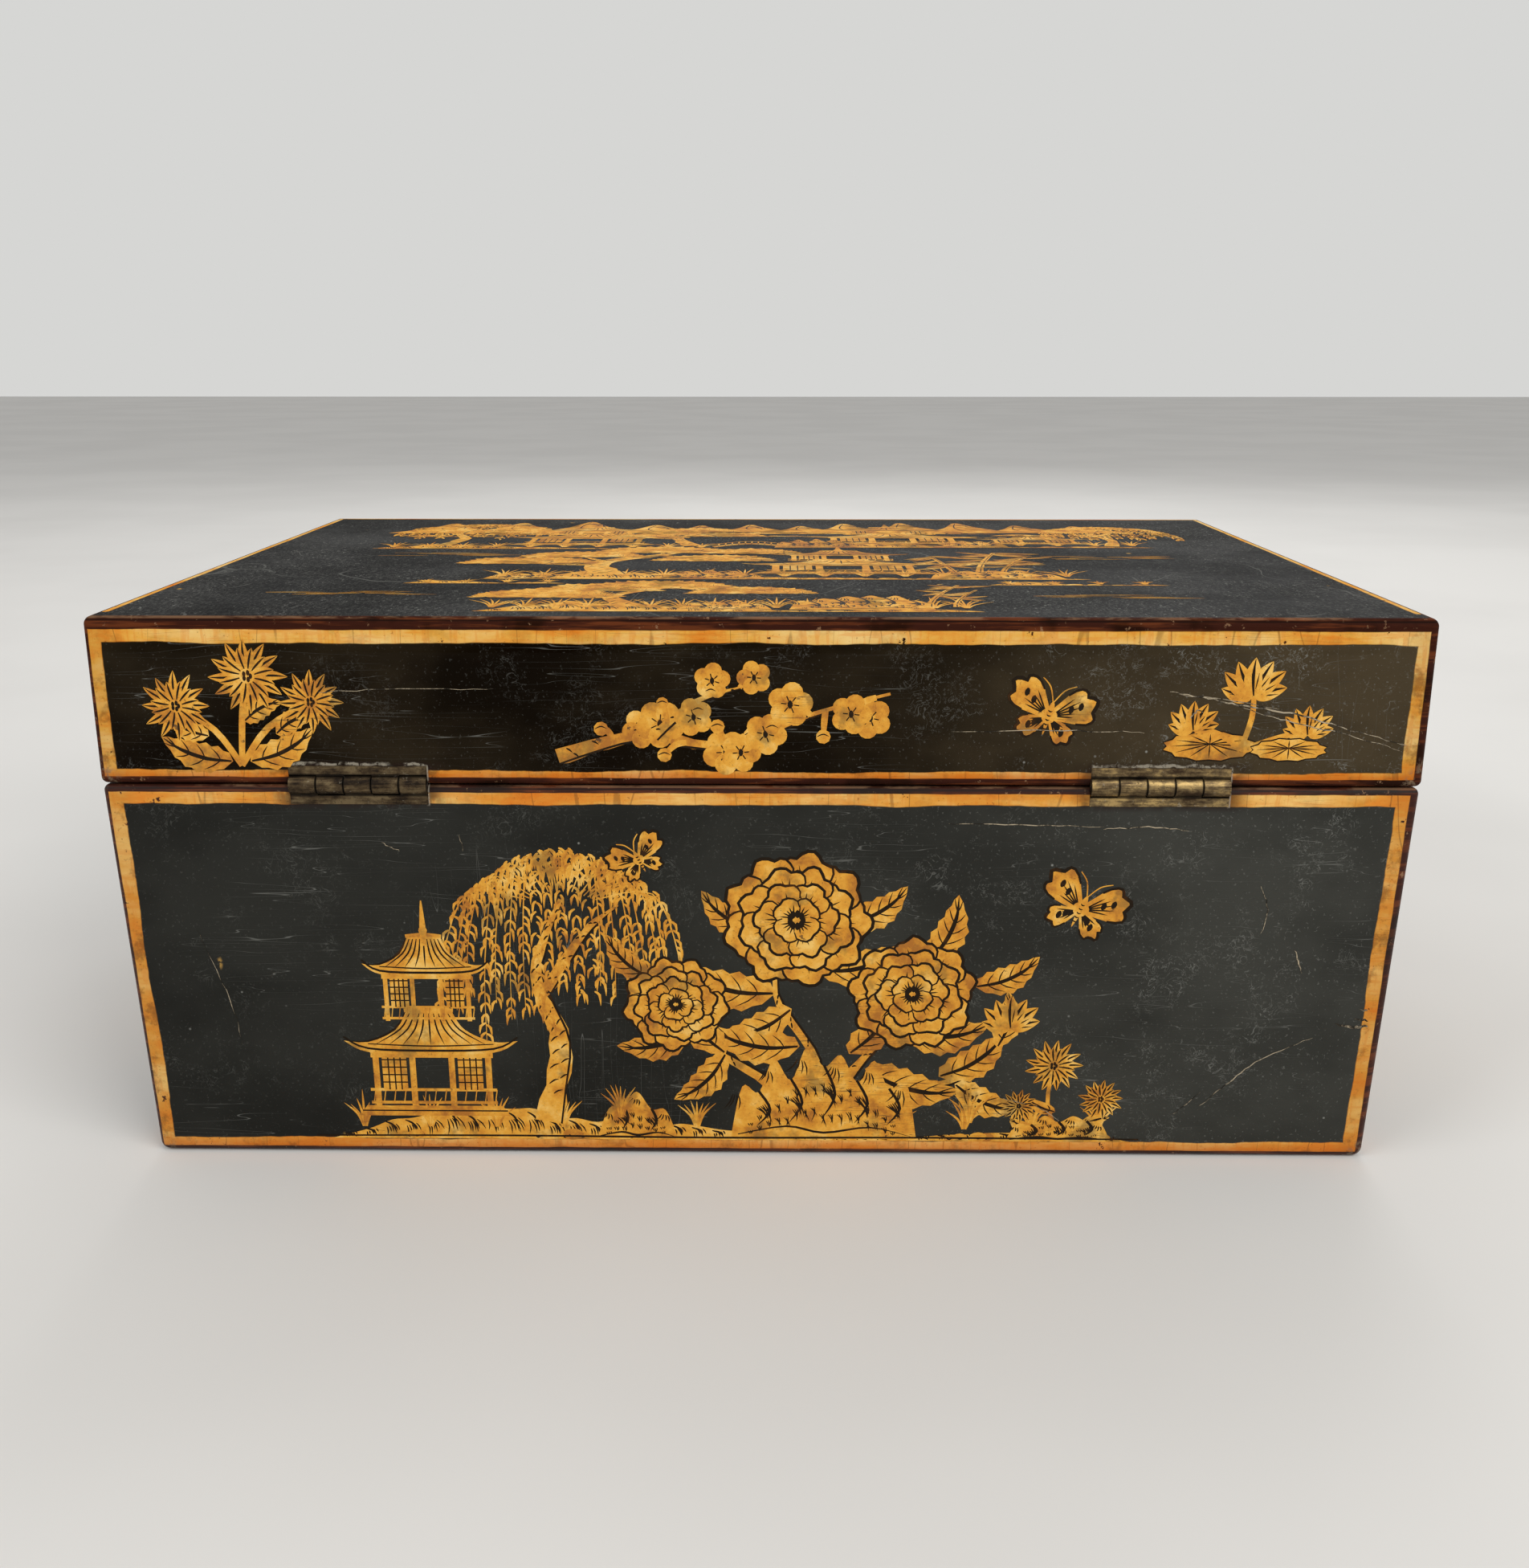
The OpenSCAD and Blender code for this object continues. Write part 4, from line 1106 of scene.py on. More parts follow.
    def plum_branch(self, points: Sequence[Point], width: float, r: float, count: int) -> None:
        """A branch with blossoms and buds along it.

        Args:
            points, width: The branch, as for a twig.
            r, count: Radius of a blossom, and how many.
        """
        self.twig(points, width)
        run = smooth(points, 12)
        for k in range(count * 2):
            u, v = run[int((0.18 + 0.8 * (k + 0.5) / (count * 2)) * (len(run) - 1))]
            a = radians(self.some(0, 360))
            u2, v2 = polar(u, v, self.some(0.4, 1.5) * r, a)
            middle = ((u + u2) / 2, (v + v2) / 2 + 0.2 * r)
            self.line([(u, v), middle, (u2, v2)], 0.32 * r, False, 0.9, 0.6, 3)
            if k % 2:
                self.blossom(u2, v2, self.near(r, 0.15), degrees(a))
            else:
                self.fill(ring(u2, v2, 0.36 * r, 9))
                self.line([(u2 - 0.3 * r, v2), (u2, v2 + 0.12 * r), (u2 + 0.3 * r, v2)], 0.18)

    def rock(self, w: float, h: float, lumps: int = 5) -> None:
        """A weathered garden rock that stands on its origin.

        Args:
            w, h: Its width and height.
            lumps: Lumps along its crown.
        """
        crown = []
        for k in range(lumps * 2 + 1):
            t = k / (lumps * 2)
            u = (t - 0.5) * w
            v = h * (sin(pi * (0.08 + 0.84 * t)) ** 0.7) * (1.0 if k % 2 else 0.74) * self.near(1, 0.14)
            crown.append((u * (1 + 0.08 * (v / h)), v))
        crown[0], crown[-1] = (-w / 2, 0.0), (w / 2, 0.0)
        self.fill(smooth(crown, 5))
        for k in range(2, lumps * 2, 2):
            u, v = crown[k]
            self.line([(u, v * 1.02), (u + 0.06 * w, v * 0.62), (u - 0.01 * w, v * 0.28)], 0.42, head=0.9)
            self.hatch(u + 0.03 * w, v * 0.74, -62, h * 0.2, 0.55, 5, 0.24, 30)
        for k in range(1, lumps * 2, 2):
            u, v = crown[k]
            self.hatch(u - 0.05 * w, v * 0.86, -105, h * 0.15, -0.5, 4, 0.22, 40)
        for k in range(1, lumps * 3):
            t = k / (lumps * 3)
            rise = h * sin(pi * t) ** 0.7
            for low, high in ((0.28, 0.38), (0.48, 0.64)):
                v = rise * self.some(low, high)
                self.hatch((t - 0.5) * w * 0.86, v, -78, rise * 0.13, 0.55, 3, 0.18, 36)
        self.line([(-w * 0.46, h * 0.05), (-w * 0.2, h * 0.14), (0, h * 0.07), (w * 0.25, h * 0.13),
                   (w * 0.47, h * 0.03)], 0.35)

    def bank(self, x0: float, x1: float, y: float, h: float, tufts: int = 6) -> None:
        """A low bank of earth with pebbles, hatching and grass.

        Args:
            x0, x1: Its ends.
            y, h: Its foot and its height.
            tufts: Tufts of grass.
        """
        count = max(int((x1 - x0) / 5), 4)
        crown = [(x0, y)]
        for k in range(1, count):
            t = k / count
            rise = h * (0.55 + 0.45 * sin(5.1 * t + 1.3)) * min(1, 6 * t, 6 * (1 - t))
            crown.append((x0 + (x1 - x0) * t, y + self.near(rise, 0.22)))
        crown.append((x1, y))
        self.fill(smooth(crown, 4))
        for k in range(1, count):
            u, v = crown[k]
            rise = v - y
            self.line([(u - 2.0, v - 0.1 * rise), (u, v - 0.3 * rise), (u + 0.8, y + 0.25 * rise)], 0.32)
            self.hatch(u - 1.6, y + rise * 0.62, -72, rise * 0.42, -0.6, 5, 0.22, 24)
        for k in range(int((x1 - x0) / 9)):
            u = self.some(x0 + 5, x1 - 5)
            rx = self.some(1.3, 2.6)
            self.outlined(ring(u, y + rx * 0.55, rx, 12, 0.6), 0.28, 0.9)
            self.line([(u - rx * 0.4, y + rx * 0.5), (u, y + rx * 0.3), (u + rx * 0.5, y + rx * 0.45)], 0.2)
        for k in range(tufts):
            self.grass(x0 + (x1 - x0) * ((k + 0.5) / tufts), y + h * 0.35, h * 0.8)

    def grass(self, x: float, y: float, h: float, blades: int = 7) -> None:
        """A tuft of grass.

        Args:
            x, y, h: Its foot and its height.
            blades: How many.
        """
        for k in range(blades):
            s = k / (blades - 1) * 2 - 1
            far = self.near(h, 0.2) * (1.15 - 0.35 * abs(s))
            self.line([(x + s * 0.4, y), (x + s * h * 0.22, y + far * 0.55), (x + s * h * 0.62, y + far)],
                      0.55, False, 0.7, 0.08, 3)

    def butterfly(self, size: float) -> None:
        """A butterfly seen from above, its head up, about the origin.

        Args:
            size: Half of its span.
        """
        for side in (1, -1):
            for turn, reach, wide in ((-38, 0.66, 34), (32, 1.0, 36)):
                a, v = turn if side > 0 else 180 - turn, 0.02 if turn > 0 else -0.06
                self.petal(side * 0.06 * size, v * size, a, reach * size, 3, wide)
                for r in (0.5, 0.72):
                    self.dot(*polar(0, 0, r * reach * size, radians(a)), 0.055 * size)
            self.line([(0, 0.3 * size), (side * 0.16 * size, 0.62 * size), (side * 0.38 * size, 0.78 * size)],
                      0.3, False, 0.8, 0.7)
        self.fill(smooth([(u * size, v * size) for u, v in (
            (0, 0.34), (0.07, 0.16), (0.05, -0.12), (0, -0.44), (-0.05, -0.12), (-0.07, 0.16))], 4, True))
        for k in range(5):
            v = 0.12 * size - 0.1 * size * k
            self.line([(-0.05 * size, v), (0, v - 0.02 * size), (0.05 * size, v)], 0.2)

    def roof(self, x: float, y: float, w: float, h: float) -> None:
        """A tiled roof with upswept eaves.

        Args:
            x, y: Its middle, at the eaves.
            w, h: Its width and height.
        """
        under = [(x - w / 2, y + h * 0.28), (x - w * 0.36, y), (x, y - h * 0.05), (x + w * 0.36, y),
                 (x + w / 2, y + h * 0.28)]
        right = [(x + w / 2, y + h * 0.28), (x + w * 0.36, y + h * 0.26), (x + w * 0.2, y + h * 0.55),
                 (x + w * 0.13, y + h)]
        left = [(2 * x - u, v) for u, v in right[::-1]]
        self.fill(smooth(under, 5) + smooth(right, 5)[1:] + smooth(left, 5)[:-1])
        self.line(smooth(left, 3), 0.3, parts=1)
        self.line([(u, v + h * 0.09) for u, v in under], 0.35, head=0.7, tail=0.7)
        self.line([(u, v + h * 0.2) for u, v in under[1:4]], 0.22, head=0.7, tail=0.7)
        for k in range(9):
            s = (k - 4) / 4
            self.line([(x + s * w * 0.11, y + h * 0.93), (x + s * w * 0.17, y + h * 0.55),
                       (x + s * w * 0.32, y + h * 0.18)], 0.24)
        self.line([(x - w * 0.14, y + h), (x, y + h * 1.04), (x + w * 0.14, y + h)], h * 0.1, False, 0.9, 0.9)

    def pavilion(self, w: float, h: float, tiers: int = 2) -> None:
        """A garden pavilion that stands on its origin.

        Args:
            w, h: Width of its lowest tier, and its whole height.
            tiers: How many roofs.
        """
        self.fill([(-w * 0.62, 0), (w * 0.62, 0), (w * 0.56, h * 0.05), (-w * 0.56, h * 0.05)])
        self.line([(-w * 0.6, h * 0.025), (w * 0.6, h * 0.025)], 0.22, head=1, tail=1)
        floor = h * 0.05
        for tier in range(tiers):
            size = w * (0.72 ** tier)
            room = h * 0.26 * (0.85 ** tier)
            top = floor + room
            for s in (-0.46, -0.16, 0.16, 0.46):
                self.fill(block(s * size - size * 0.025, floor, s * size + size * 0.025, top))
            rail = floor + room * 0.3
            for v in (rail, floor + room * 0.06):
                self.line([(-size * 0.52, v), (0, v), (size * 0.52, v)], 0.6 * size / 30 + 0.2, False,
                          1, 1, 2)
            for k in range(13):
                u = (k - 6) / 6 * size * 0.5
                self.bar((u, floor + room * 0.05), (u + size * 0.02, rail), 0.25, False)
            for k in (-1, 1):
                u0, u1 = k * size * 0.31 - size * 0.1, k * size * 0.31 + size * 0.1
                self.fill(block(u0, rail, u1, top))
                for j in range(1, 4):
                    self.bar((u0 + j * size * 0.05, rail), (u0 + j * size * 0.05, top), 0.2)
                for j in range(1, 5):
                    v = rail + (top - rail) * j / 5
                    self.bar((u0, v), (u1, v), 0.2)
            self.fill(block(-size * 0.5, top - room * 0.1, size * 0.5, top + room * 0.1))
            self.roof(0, top, size * 1.42, h * 0.2 * (0.88 ** tier))
            floor = top + h * 0.15 * (0.88 ** tier)
        self.line([(0, floor), (0, floor + h * 0.06), (0, h * 1.02)], w * 0.05, False, 1.2, 0.2)
        self.fill(ring(0, floor + h * 0.07, w * 0.035, 10))

    def bamboo(self, x: float, y: float, h: float, lean: float = 0.1, leaves: int = 9) -> None:
        """A stem of bamboo with bunches of leaves.

        Args:
            x, y, h: Its foot and its height.
            lean: How far its top leans, as a share of the height.
            leaves: Leaves on the upper half.
        """
        joints = 6
        w = 0.035 * h + 0.35
        for k in range(joints):
            t0, t1 = k / joints, (k + 0.94) / joints
            u0, u1 = x + lean * h * t0 ** 1.6, x + lean * h * t1 ** 1.6
            half = w / 2 * (1 - 0.45 * t0)
            self.fill([(u0 - half * 1.2, y + h * t0), (u0 + half * 1.2, y + h * t0), (u1 + half, y + h * t1),
                       (u1 - half, y + h * t1)])
            self.line([(u0 + half * 0.3, y + h * t0), (u1 + half * 0.3, y + h * t1)], 0.2)
        for k in range(leaves):
            t = self.some(0.42, 1.0)
            side = 1 if k % 2 else -1
            turn = 90 - side * self.some(55, 140)
            self.leaf(x + lean * h * t ** 1.6, y + h * t, turn, self.near(0.24 * h, 0.2), 0.045 * h + 0.3,
                      -0.06 * side, 0)

    def willow(self, x: float, y: float, h: float, w: float, strands: int = 16) -> None:
        """A willow whose strands hang to both sides.

        Args:
            x, y: Its foot.
            h, w: Its height and its spread.
            strands: How many strands.
        """
        crown = (x + 0.1 * w, y + 0.82 * h)
        self.twig([(x, y), (x + 0.07 * w, y + 0.3 * h), (x - 0.03 * w, y + 0.55 * h), crown], 0.09 * h)
        self.twig([(x + 0.02 * w, y + 0.5 * h), (x + 0.2 * w, y + 0.7 * h), (x + 0.36 * w, y + 0.8 * h)],
                  0.045 * h)
        for k in range(strands):
            s = k / (strands - 1) * 2 - 1
            top = (crown[0] + s * 0.16 * w, crown[1] + 0.04 * h * (1 - abs(s)))
            knee = (crown[0] + s * 0.42 * w, crown[1] + 0.15 * h * (1 - s * s) + 0.02 * h)
            low = (crown[0] + s * 0.56 * w + self.some(-1, 1), crown[1] - self.near(0.42 * h, 0.3))
            run = [top, knee, ((knee[0] + low[0]) / 2 + s * 0.05 * w, (knee[1] + low[1]) / 2), low]
            self.line(run, 0.3, False, 0.9, 0.5)
            curve = smooth(run, 9)
            for i in range(4, len(curve) - 1):
                for side in (-1, 1):
                    if self.chance.random() < 0.8:
                        u, v = curve[i][0], curve[i][1] + self.some(-0.8, 0.8)
                        out = side * self.some(0.5, 1.4)
                        self.line([(u, v), (u + out, v - 0.9), (u + out * 1.2, v - self.near(3.2, 0.25))],
                                  0.7, False, 0.5, 0.1, 2)

    def pine_pad(self, x: float, y: float, w: float, h: float) -> None:
        """A flat pad of pine needles.

        Args:
            x, y: Its middle, at its foot.
            w, h: Its width and height.
        """
        fans = max(int(w / 3.0), 4)
        for row, count in ((2, fans - 3), (1, fans - 1), (0, fans)):
            for k in range(count):
                s = (k + 0.5 - count / 2) / (fans / 2)
                size = h * 0.62 * (1 - 0.45 * s * s)
                u = x + s * w / 2
                v = y + row * h * 0.28 * (1 - 0.5 * s * s) + self.some(-0.06, 0.06) * h
                edge = [(u - 1.0, v)]
                for j in range(15):
                    a = radians(190 - 200 * j / 14)
                    r = size * (1.0 if j % 2 else 0.74) * self.near(1, 0.1)
                    edge.append((u + r * 1.1 * cos(a), v + r * sin(a)))
                self.fill(edge + [(u + 1.0, v)])
                for j in range(7):
                    a = radians(160 - 140 * j / 6)
                    self.line([(u, v), polar(u, v, size * 0.84, a)], 0.22, parts=1)

    def pine(self, points: Sequence[Point], width: float, *pads: tuple[float, float, float, float]) -> None:
        """A leaning pine with its pads of needles.

        Args:
            points, width: The trunk, as for a twig.
            pads: Middle, foot, width and height of each pad.
        """
        self.twig(points, width)
        run = smooth(points, 8)
        for x, y, w, h in pads:
            near = min(run, key=lambda p: hypot(p[0] - x, p[1] - y + 3))
            self.twig([near, ((near[0] + x) / 2, (near[1] + y) / 2 - 1), (x, y + 0.5)], width * 0.4)
            self.pine_pad(x, y, w, h)

    def bridge(self, w: float, rise: float, deck: float) -> None:
        """An arched bridge with a rail, from its left foot at the origin.

        Args:
            w, rise: Its length and the height of its arch.
            deck: Thickness of its deck.
        """
        shares = [k / 12 for k in range(13)]
        top = [(w * t, rise * sin(pi * t) + deck) for t in shares]
        low = [(w * (0.04 + 0.92 * t), rise * 0.96 * sin(pi * t)) for t in shares]
        self.fill(top + low[::-1])
        self.line([(u, v - deck * 0.5) for u, v in top], 0.22, head=1, tail=1, parts=1)
        for k in range(1, 12):
            u, v = top[k]
            self.bar((u, v - deck * 0.9), (u, v), 0.2)
            self.bar((u, v), (u, v + deck * 1.7), 0.45, False)
        self.line([(u, v + deck * 1.8) for u, v in top], 0.55, False, 1, 1, 1)

    def lotus(self, x: float, y: float, r: float) -> None:
        """A lotus flower seen from its side.

        Args:
            x, y, r: Its foot and its size.
        """
        for turn in (165, 15, 140, 40, 116, 64, 90):
            self.leaf(x, y, turn, r * (1.0 if 30 < turn < 150 else 0.85), r * 0.46, 0.05, 0)
            for k in (-1, 1):
                a = radians(turn + 9 * k)
                self.line([polar(x, y, 0.2 * r, a), polar(x, y, 0.62 * r, a)], 0.2, parts=2)

    def pad_leaf(self, x: float, y: float, rx: float, ry: float) -> None:
        """A round, ruffled lotus leaf.

        Args:
            x, y: Its middle.
            rx, ry: Half of its width and height.
        """
        edge = [(x + rx * f * cos(a), y + ry * f * sin(a)) for a, f in
                ((tau * k / 24, 1.0 if k % 2 else 0.9) for k in range(24))]
        self.outlined(edge, 0.2)
        for k in range(12):
            a = tau * k / 12
            self.line([(x, y + 0.15 * ry), (x + 0.8 * rx * cos(a), y + 0.8 * ry * sin(a))], 0.2, parts=2)

    def water(self, x: float, y: float, w: float, rows: int = 3) -> None:
        """Broken lines of still water.

        Args:
            x, y, w: Middle of the upper row, and its width.
            rows: How many.
        """
        for k in range(rows):
            for _ in range(2):
                u = x + self.some(-0.35, 0.35) * w
                half = w * self.some(0.1, 0.22)
                v = y - k * 1.5
                self.line([(u - half, v), (u, v + 0.25), (u + half, v)], 0.5, False)

    def hills(self, x: float, y: float, w: float, h: float, peaks: int = 3) -> None:
        """Far hills with a hatched flank.

        Args:
            x, y: Their middle, at their foot.
            w, h: Their width and height.
            peaks: How many.
        """
        for k in range(peaks):
            t = (k + 0.5) / peaks
            u = x + (t - 0.5) * w
            half, top = w / peaks * 0.8, h * self.near(1 - 0.5 * abs(t - 0.4), 0.15)
            self.fill(smooth([(u - half, y), (u - half * 0.45, y + top * 0.45), (u - half * 0.1, y + top),
                              (u + half * 0.3, y + top * 0.55), (u + half, y)], 5))
            self.hatch(u + half * 0.02, y + top * 0.88, -58, top * 0.42, 0.9, 6, 0.26, 20)
            self.line([(u - half * 0.1, y + top * 0.96), (u - half * 0.2, y + top * 0.5),
                       (u - half * 0.05, y + top * 0.2)], 0.28)


class Side(Enum):
    """A face of the box, with the turn of its drawing about Z in quarter turns."""

    BACK = 0
    RIGHT = 1
    FRONT = 2
    LEFT = 3
    TOP = 4


@dataclass
class Penwork:
    """Ochre figures and pen lines on every face: common garden, water and flower motifs."""

    half_w: float = 152.2
    half_d: float = 103.5
    lid_half_w: float = 152.5
    lean: float = 2.2 / 92
    lean_from: float = 94.5
    top: float = 135.3
    garden: Garden | None = None
    side: Side = Side.BACK

    def spot(self, side: Side, on_lid: bool) -> Callable[[float, float, float], Vector]:
        """How a drawing lies on its face.

        Args:
            side, on_lid: The face, and whether it belongs to the lid.

        Returns:
            A call that places a point.
        """
        half_w = self.lid_half_w if on_lid else self.half_w

        def place(u: float, v: float, lift: float) -> Vector:
            """The place of a point.

            Args:
                u, v, lift: The point in millimetres, and its lift.

            Returns:
                Its place in metres.
            """
            if side is Side.TOP:
                return Vector((u, v, self.top + lift)) * MM
            out = (half_w if side.value % 2 else self.half_d) + lift
            if not on_lid:
                out -= (self.lean_from - v) * self.lean
            turned = Matrix.Rotation(radians(90 * side.value), 3, "Z") @ Vector((u, -out, 0))
            return Vector((turned.x, turned.y, v)) * MM

        return place

    def body_back(self) -> None:
        """Peonies over a garden rock, with a pavilion under a willow and butterflies."""
        g = self.garden
        g.bank(-106, 92, 4.2, 9.5, 12)
        g.willow(-52, 9, 72, 52, 19)
        g.at(-80, 10.5).pavilion(30, 56)
        g.at()
        for run in (((12, 8), (14, 26), (4, 44), (8, 62)), ((14, 8), (22, 22), (30, 32), (37, 44)),
                    ((10, 8), (2, 20), (-12, 30), (-20, 40)), ((15, 8), (30, 16), (50, 22), (60, 34))):
            g.twig(run, 3.4)
        for x, y, turn, size in ((4, 44, 160, 24), (8, 40, 200, 20), (14, 50, 20, 22), (10, 30, 165, 22),
                                 (22, 28, 60, 20), (26, 24, -12, 24), (34, 34, 8, 22), (-8, 28, 120, 20),
                                 (-16, 34, 190, 19), (-8, 28, 222, 18), (44, 22, 40, 20), (48, 20, -20, 18),
                                 (0, 60, 140, 17), (20, 62, 35, 18), (40, 52, 70, 19), (52, 46, 30, 17),
                                 (-26, 48, 130, 15), (58, 30, 85, 15)):
            g.leaf(x, y, turn, size, size * 0.42, 0.14 if turn > 90 else -0.14, 5, 0.1)
        g.peony(37, 44, 15, 10)
        g.peony(-20, 41, 12.5, 30)
        g.peony(9, 63, 17.5)
        g.lotus(61, 35, 8.5)
        g.at(16, 4.6).rock(46, 25, 6)
        g.at(-30, 4.6).rock(20, 12, 3)
        g.at()
        for x, y, r in ((72, 25, 7), (84, 16, 5.5), (64, 14, 4.6)):
            g.line([(74, 6), (x - 1, y * 0.6), (x, y)], 1.0, False, 0.9, 0.8)
            g.leaf((74 + x) / 2, y * 0.5, 20 if x > 72 else 150, 8, 3.2, 0.1, 2)
            g.aster(x, y, r, 13)
        g.at(74, 4.4).rock(26, 8, 4)
        g.at(-34, 4.3).grass(0, 6, 8, 9)
        g.at(52, 4.3).grass(0, 5, 9, 9)
        g.at(76, 66, -24).butterfly(11)
        g.at(-28, 78, 28).butterfly(7.5)
        g.at().line([(-110, 4.9), (-60, 5.1), (-10, 4.8), (40, 5.1), (94, 4.9)], 0.32, True, 0.8, 0.8)

    def body_front(self) -> None:
        """Two low islands with a bridge between them, clear of the keyhole."""
        g = self.garden
        g.bank(-118, -26, 4.2, 9, 8)
        g.bank(30, 116, 4.2, 10, 8)
        g.pine([(-98, 8), (-92, 30), (-100, 50), (-84, 66), (-78, 78)], 7,
               (-112, 48, 22, 8), (-92, 58, 22, 8), (-66, 66, 26, 9), (-80, 78, 24, 9), (-70, 50, 18, 7))
        g.at(-66, 4.6).rock(34, 18, 5)
        g.at(-28, 7).bridge(58, 9, 2.0)
        g.at(62, 11).pavilion(28, 54)
        g.at()
        for x, h, lean in ((94, 62, 0.16), (100, 52, 0.26), (88, 48, -0.1)):
            g.bamboo(x, 9, h, lean, 12)
        g.at(98, 4.6).rock(30, 15, 5)
        g.at().water(0, 8.5, 44, 2)
        g.at(-30, 60, -14).butterfly(7)
        g.at(36, 74, 20).butterfly(6)

    def body_left(self) -> None:
        """Asters and a rock."""
        g = self.garden
        g.bank(-70, 66, 4.2, 8, 8)
        for x, y, r in ((-20, 66, 13), (14, 54, 12), (-44, 42, 11), (38, 34, 10), (-8, 34, 9)):
            g.line([(4, 8), (x * 0.45, y * 0.5), (x, y)], 1.6, False, 0.9, 0.7)
            for k, turn in enumerate((30, 150, 80)):
                g.leaf(x * (0.35 + 0.2 * k), y * (0.35 + 0.2 * k) + 3, turn, 16, 6.5, 0.12, 4, 0.12)
            g.aster(x, y, r)
        g.at(6, 4.6).rock(44, 20, 6)
        g.at(48, 68, -30).butterfly(9)

    def body_right(self) -> None:
        """A plum tree over water."""
        g = self.garden
        g.bank(-72, 20, 4.2, 9, 7)
        g.plum_branch([(-50, 8), (-42, 34), (-52, 52), (-30, 70), (4, 80)], 7, 5, 8)
        g.plum_branch([(-44, 40), (-20, 46), (4, 60), (40, 62)], 4, 4.6, 9)
        g.plum_branch([(-46, 26), (-24, 28), (-2, 40), (22, 38)], 3, 4, 7)
        g.at(-44, 4.6).rock(36, 15, 5)
        g.at(38, 6).pad_leaf(0, 3, 14, 4.5)
        g.at().line([(50, 9), (48, 18), (52, 28)], 1.1, False, 0.9, 0.9)
        g.lotus(52, 27, 11)
        g.water(42, 7, 50, 2)

    def lid_back(self) -> None:
        """Aster, plum, butterfly and lotus."""
        g = self.garden
        g.at(-119, 100.8)
        g.leaf(2, 1, 30, 17, 7, -0.12, 4, 0.1)
        g.leaf(-2, 1, 158, 17, 7, 0.12, 4, 0.1)
        for x, y, r in ((3, 21, 9), (17, 15, 7.5), (-14, 14, 8)):
            g.line([(0, 0), (x * 0.4, y * 0.6), (x, y)], 1.5, False, 0.9, 0.8)
            g.leaf(x * 0.5, y * 0.5, 150 if x < 0 else 25, 10, 5, 0.12, 4, 0.1)
            g.aster(x, y, r, 12)
        g.at().plum_branch([(-46, 103), (-28, 108), (-8, 106), (12, 113), (30, 118)], 3.6, 4.7, 8)
        g.plum_branch([(-24, 108), (-14, 116), (-2, 120)], 2.4, 3.9, 3)
        g.at(66, 113, -16).butterfly(10.5)
        g.at(0, 1.6)
        g.pad_leaf(103, 104.4, 11, 3.6)
        for x, y in ((112, 120), (125, 111), (99, 112)):
            g.line([(110, 103.5), ((110 + x) / 2 + 1, (102 + y) / 2), (x, y - 3)], 1.3, False, 0.9, 0.8)
            g.lotus(x, y - 4, 9 if x == 112 else 7)
        g.pad_leaf(121, 103.6, 9, 2.8)

    def lid_front(self) -> None:
        """Peony sprays to both sides of the lock."""
        g = self.garden
        for flip in (False, True):
            g.at(0, 1.6, 0, flip)
            g.twig([(24, 108), (48, 106), (74, 112), (104, 108), (126, 118)], 2.4)
            for x, y, turn in ((34, 107, 60), (44, 106, -50), (60, 110, 120), (84, 111, 55), (92, 109, -60),
                               (108, 110, 110), (116, 114, -30), (70, 111, -70)):
                g.leaf(x, y, turn, 12, 5, 0.14, 4, 0.1)
            g.peony(54, 113, 10)
            g.peony(100, 113, 9)
            g.lotus(127, 117, 6)

    def lid_end(self) -> None:
        """A plum branch and a butterfly, mirrored on the left."""
        g, left = self.garden, self.side is Side.LEFT
        g.at(flip=left)
        g.plum_branch([(-70, 104), (-44, 110), (-18, 107), (10, 116), (36, 120)], 2.6, 4.2, 9)
        g.at(-62 if left else 62, 113, -12).butterfly(9)

    def lid_top(self) -> None:
        """Islands with pavilions and trees, a bridge and far hills."""
        g = self.garden
        g.hills(-70, 58, 92, 34, 4)
        g.hills(66, 60, 96, 30, 5)
        g.hills(-4, 62, 50, 22, 3)
        for x, y, w in ((-60, 54, 70), (30, 57, 90), (92, 52, 40), (-6, 50, 50), (64, 46, 60),
                        (-100, 48, 30)):
            g.bank(x - w / 2, x + w / 2, y, 5, 0)
        g.bank(-118, -14, 18, 12, 10)
        g.bank(4, 118, 22, 13, 10)
        g.willow(-98, 26, 58, 44, 17)
        g.at(-56, 28).pavilion(36, 54)
        g.at().pine([(-22, 26), (-27, 46), (-18, 64)], 6,
                    (-38, 46, 24, 9), (-12, 50, 22, 9), (-22, 62, 26, 10), (-30, 54, 20, 8))
        g.at(-16, 22).bridge(24, 8, 2.4)
        g.at(40, 31).pavilion(40, 52)
        g.at(84, 31).pavilion(26, 36, 1)
        g.at().willow(106, 26, 52, 38, 15)
        g.at(16, 22).rock(26, 20, 5)
        g.at(64, 24).rock(20, 14, 4)
        g.at().bank(-74, 86, -44, 15, 15)
        g.bank(-92, -50, -52, 6, 4)
        g.bank(58, 104, -54, 6, 4)
        g.pine([(-40, -36), (-46, -14), (-32, 2), (-20, 16)], 9,
               (-66, -14, 34, 12), (-52, 0, 32, 11), (-14, -8, 30, 11), (-30, 10, 34, 12), (-4, 8, 26, 10))
        g.at(22, -34).pavilion(40, 56)
        g.at()
        for x, h, lean in ((58, 48, 0.2), (64, 38, 0.3), (52, 40, -0.1)):
            g.bamboo(x, -38, h, lean, 13)
        g.at(62, -44).rock(36, 18, 5)
        g.at(-14, -44).rock(30, 15, 5)
        g.at(-62, -44).rock(22, 12, 4)
        g.at().bank(-66, 52, -95, 15, 16)
        g.pine([(-30, -88), (-36, -72), (-22, -58)], 7,
               (-52, -74, 32, 12), (-26, -60, 34, 12), (-2, -68, 28, 10), (-40, -64, 26, 11))
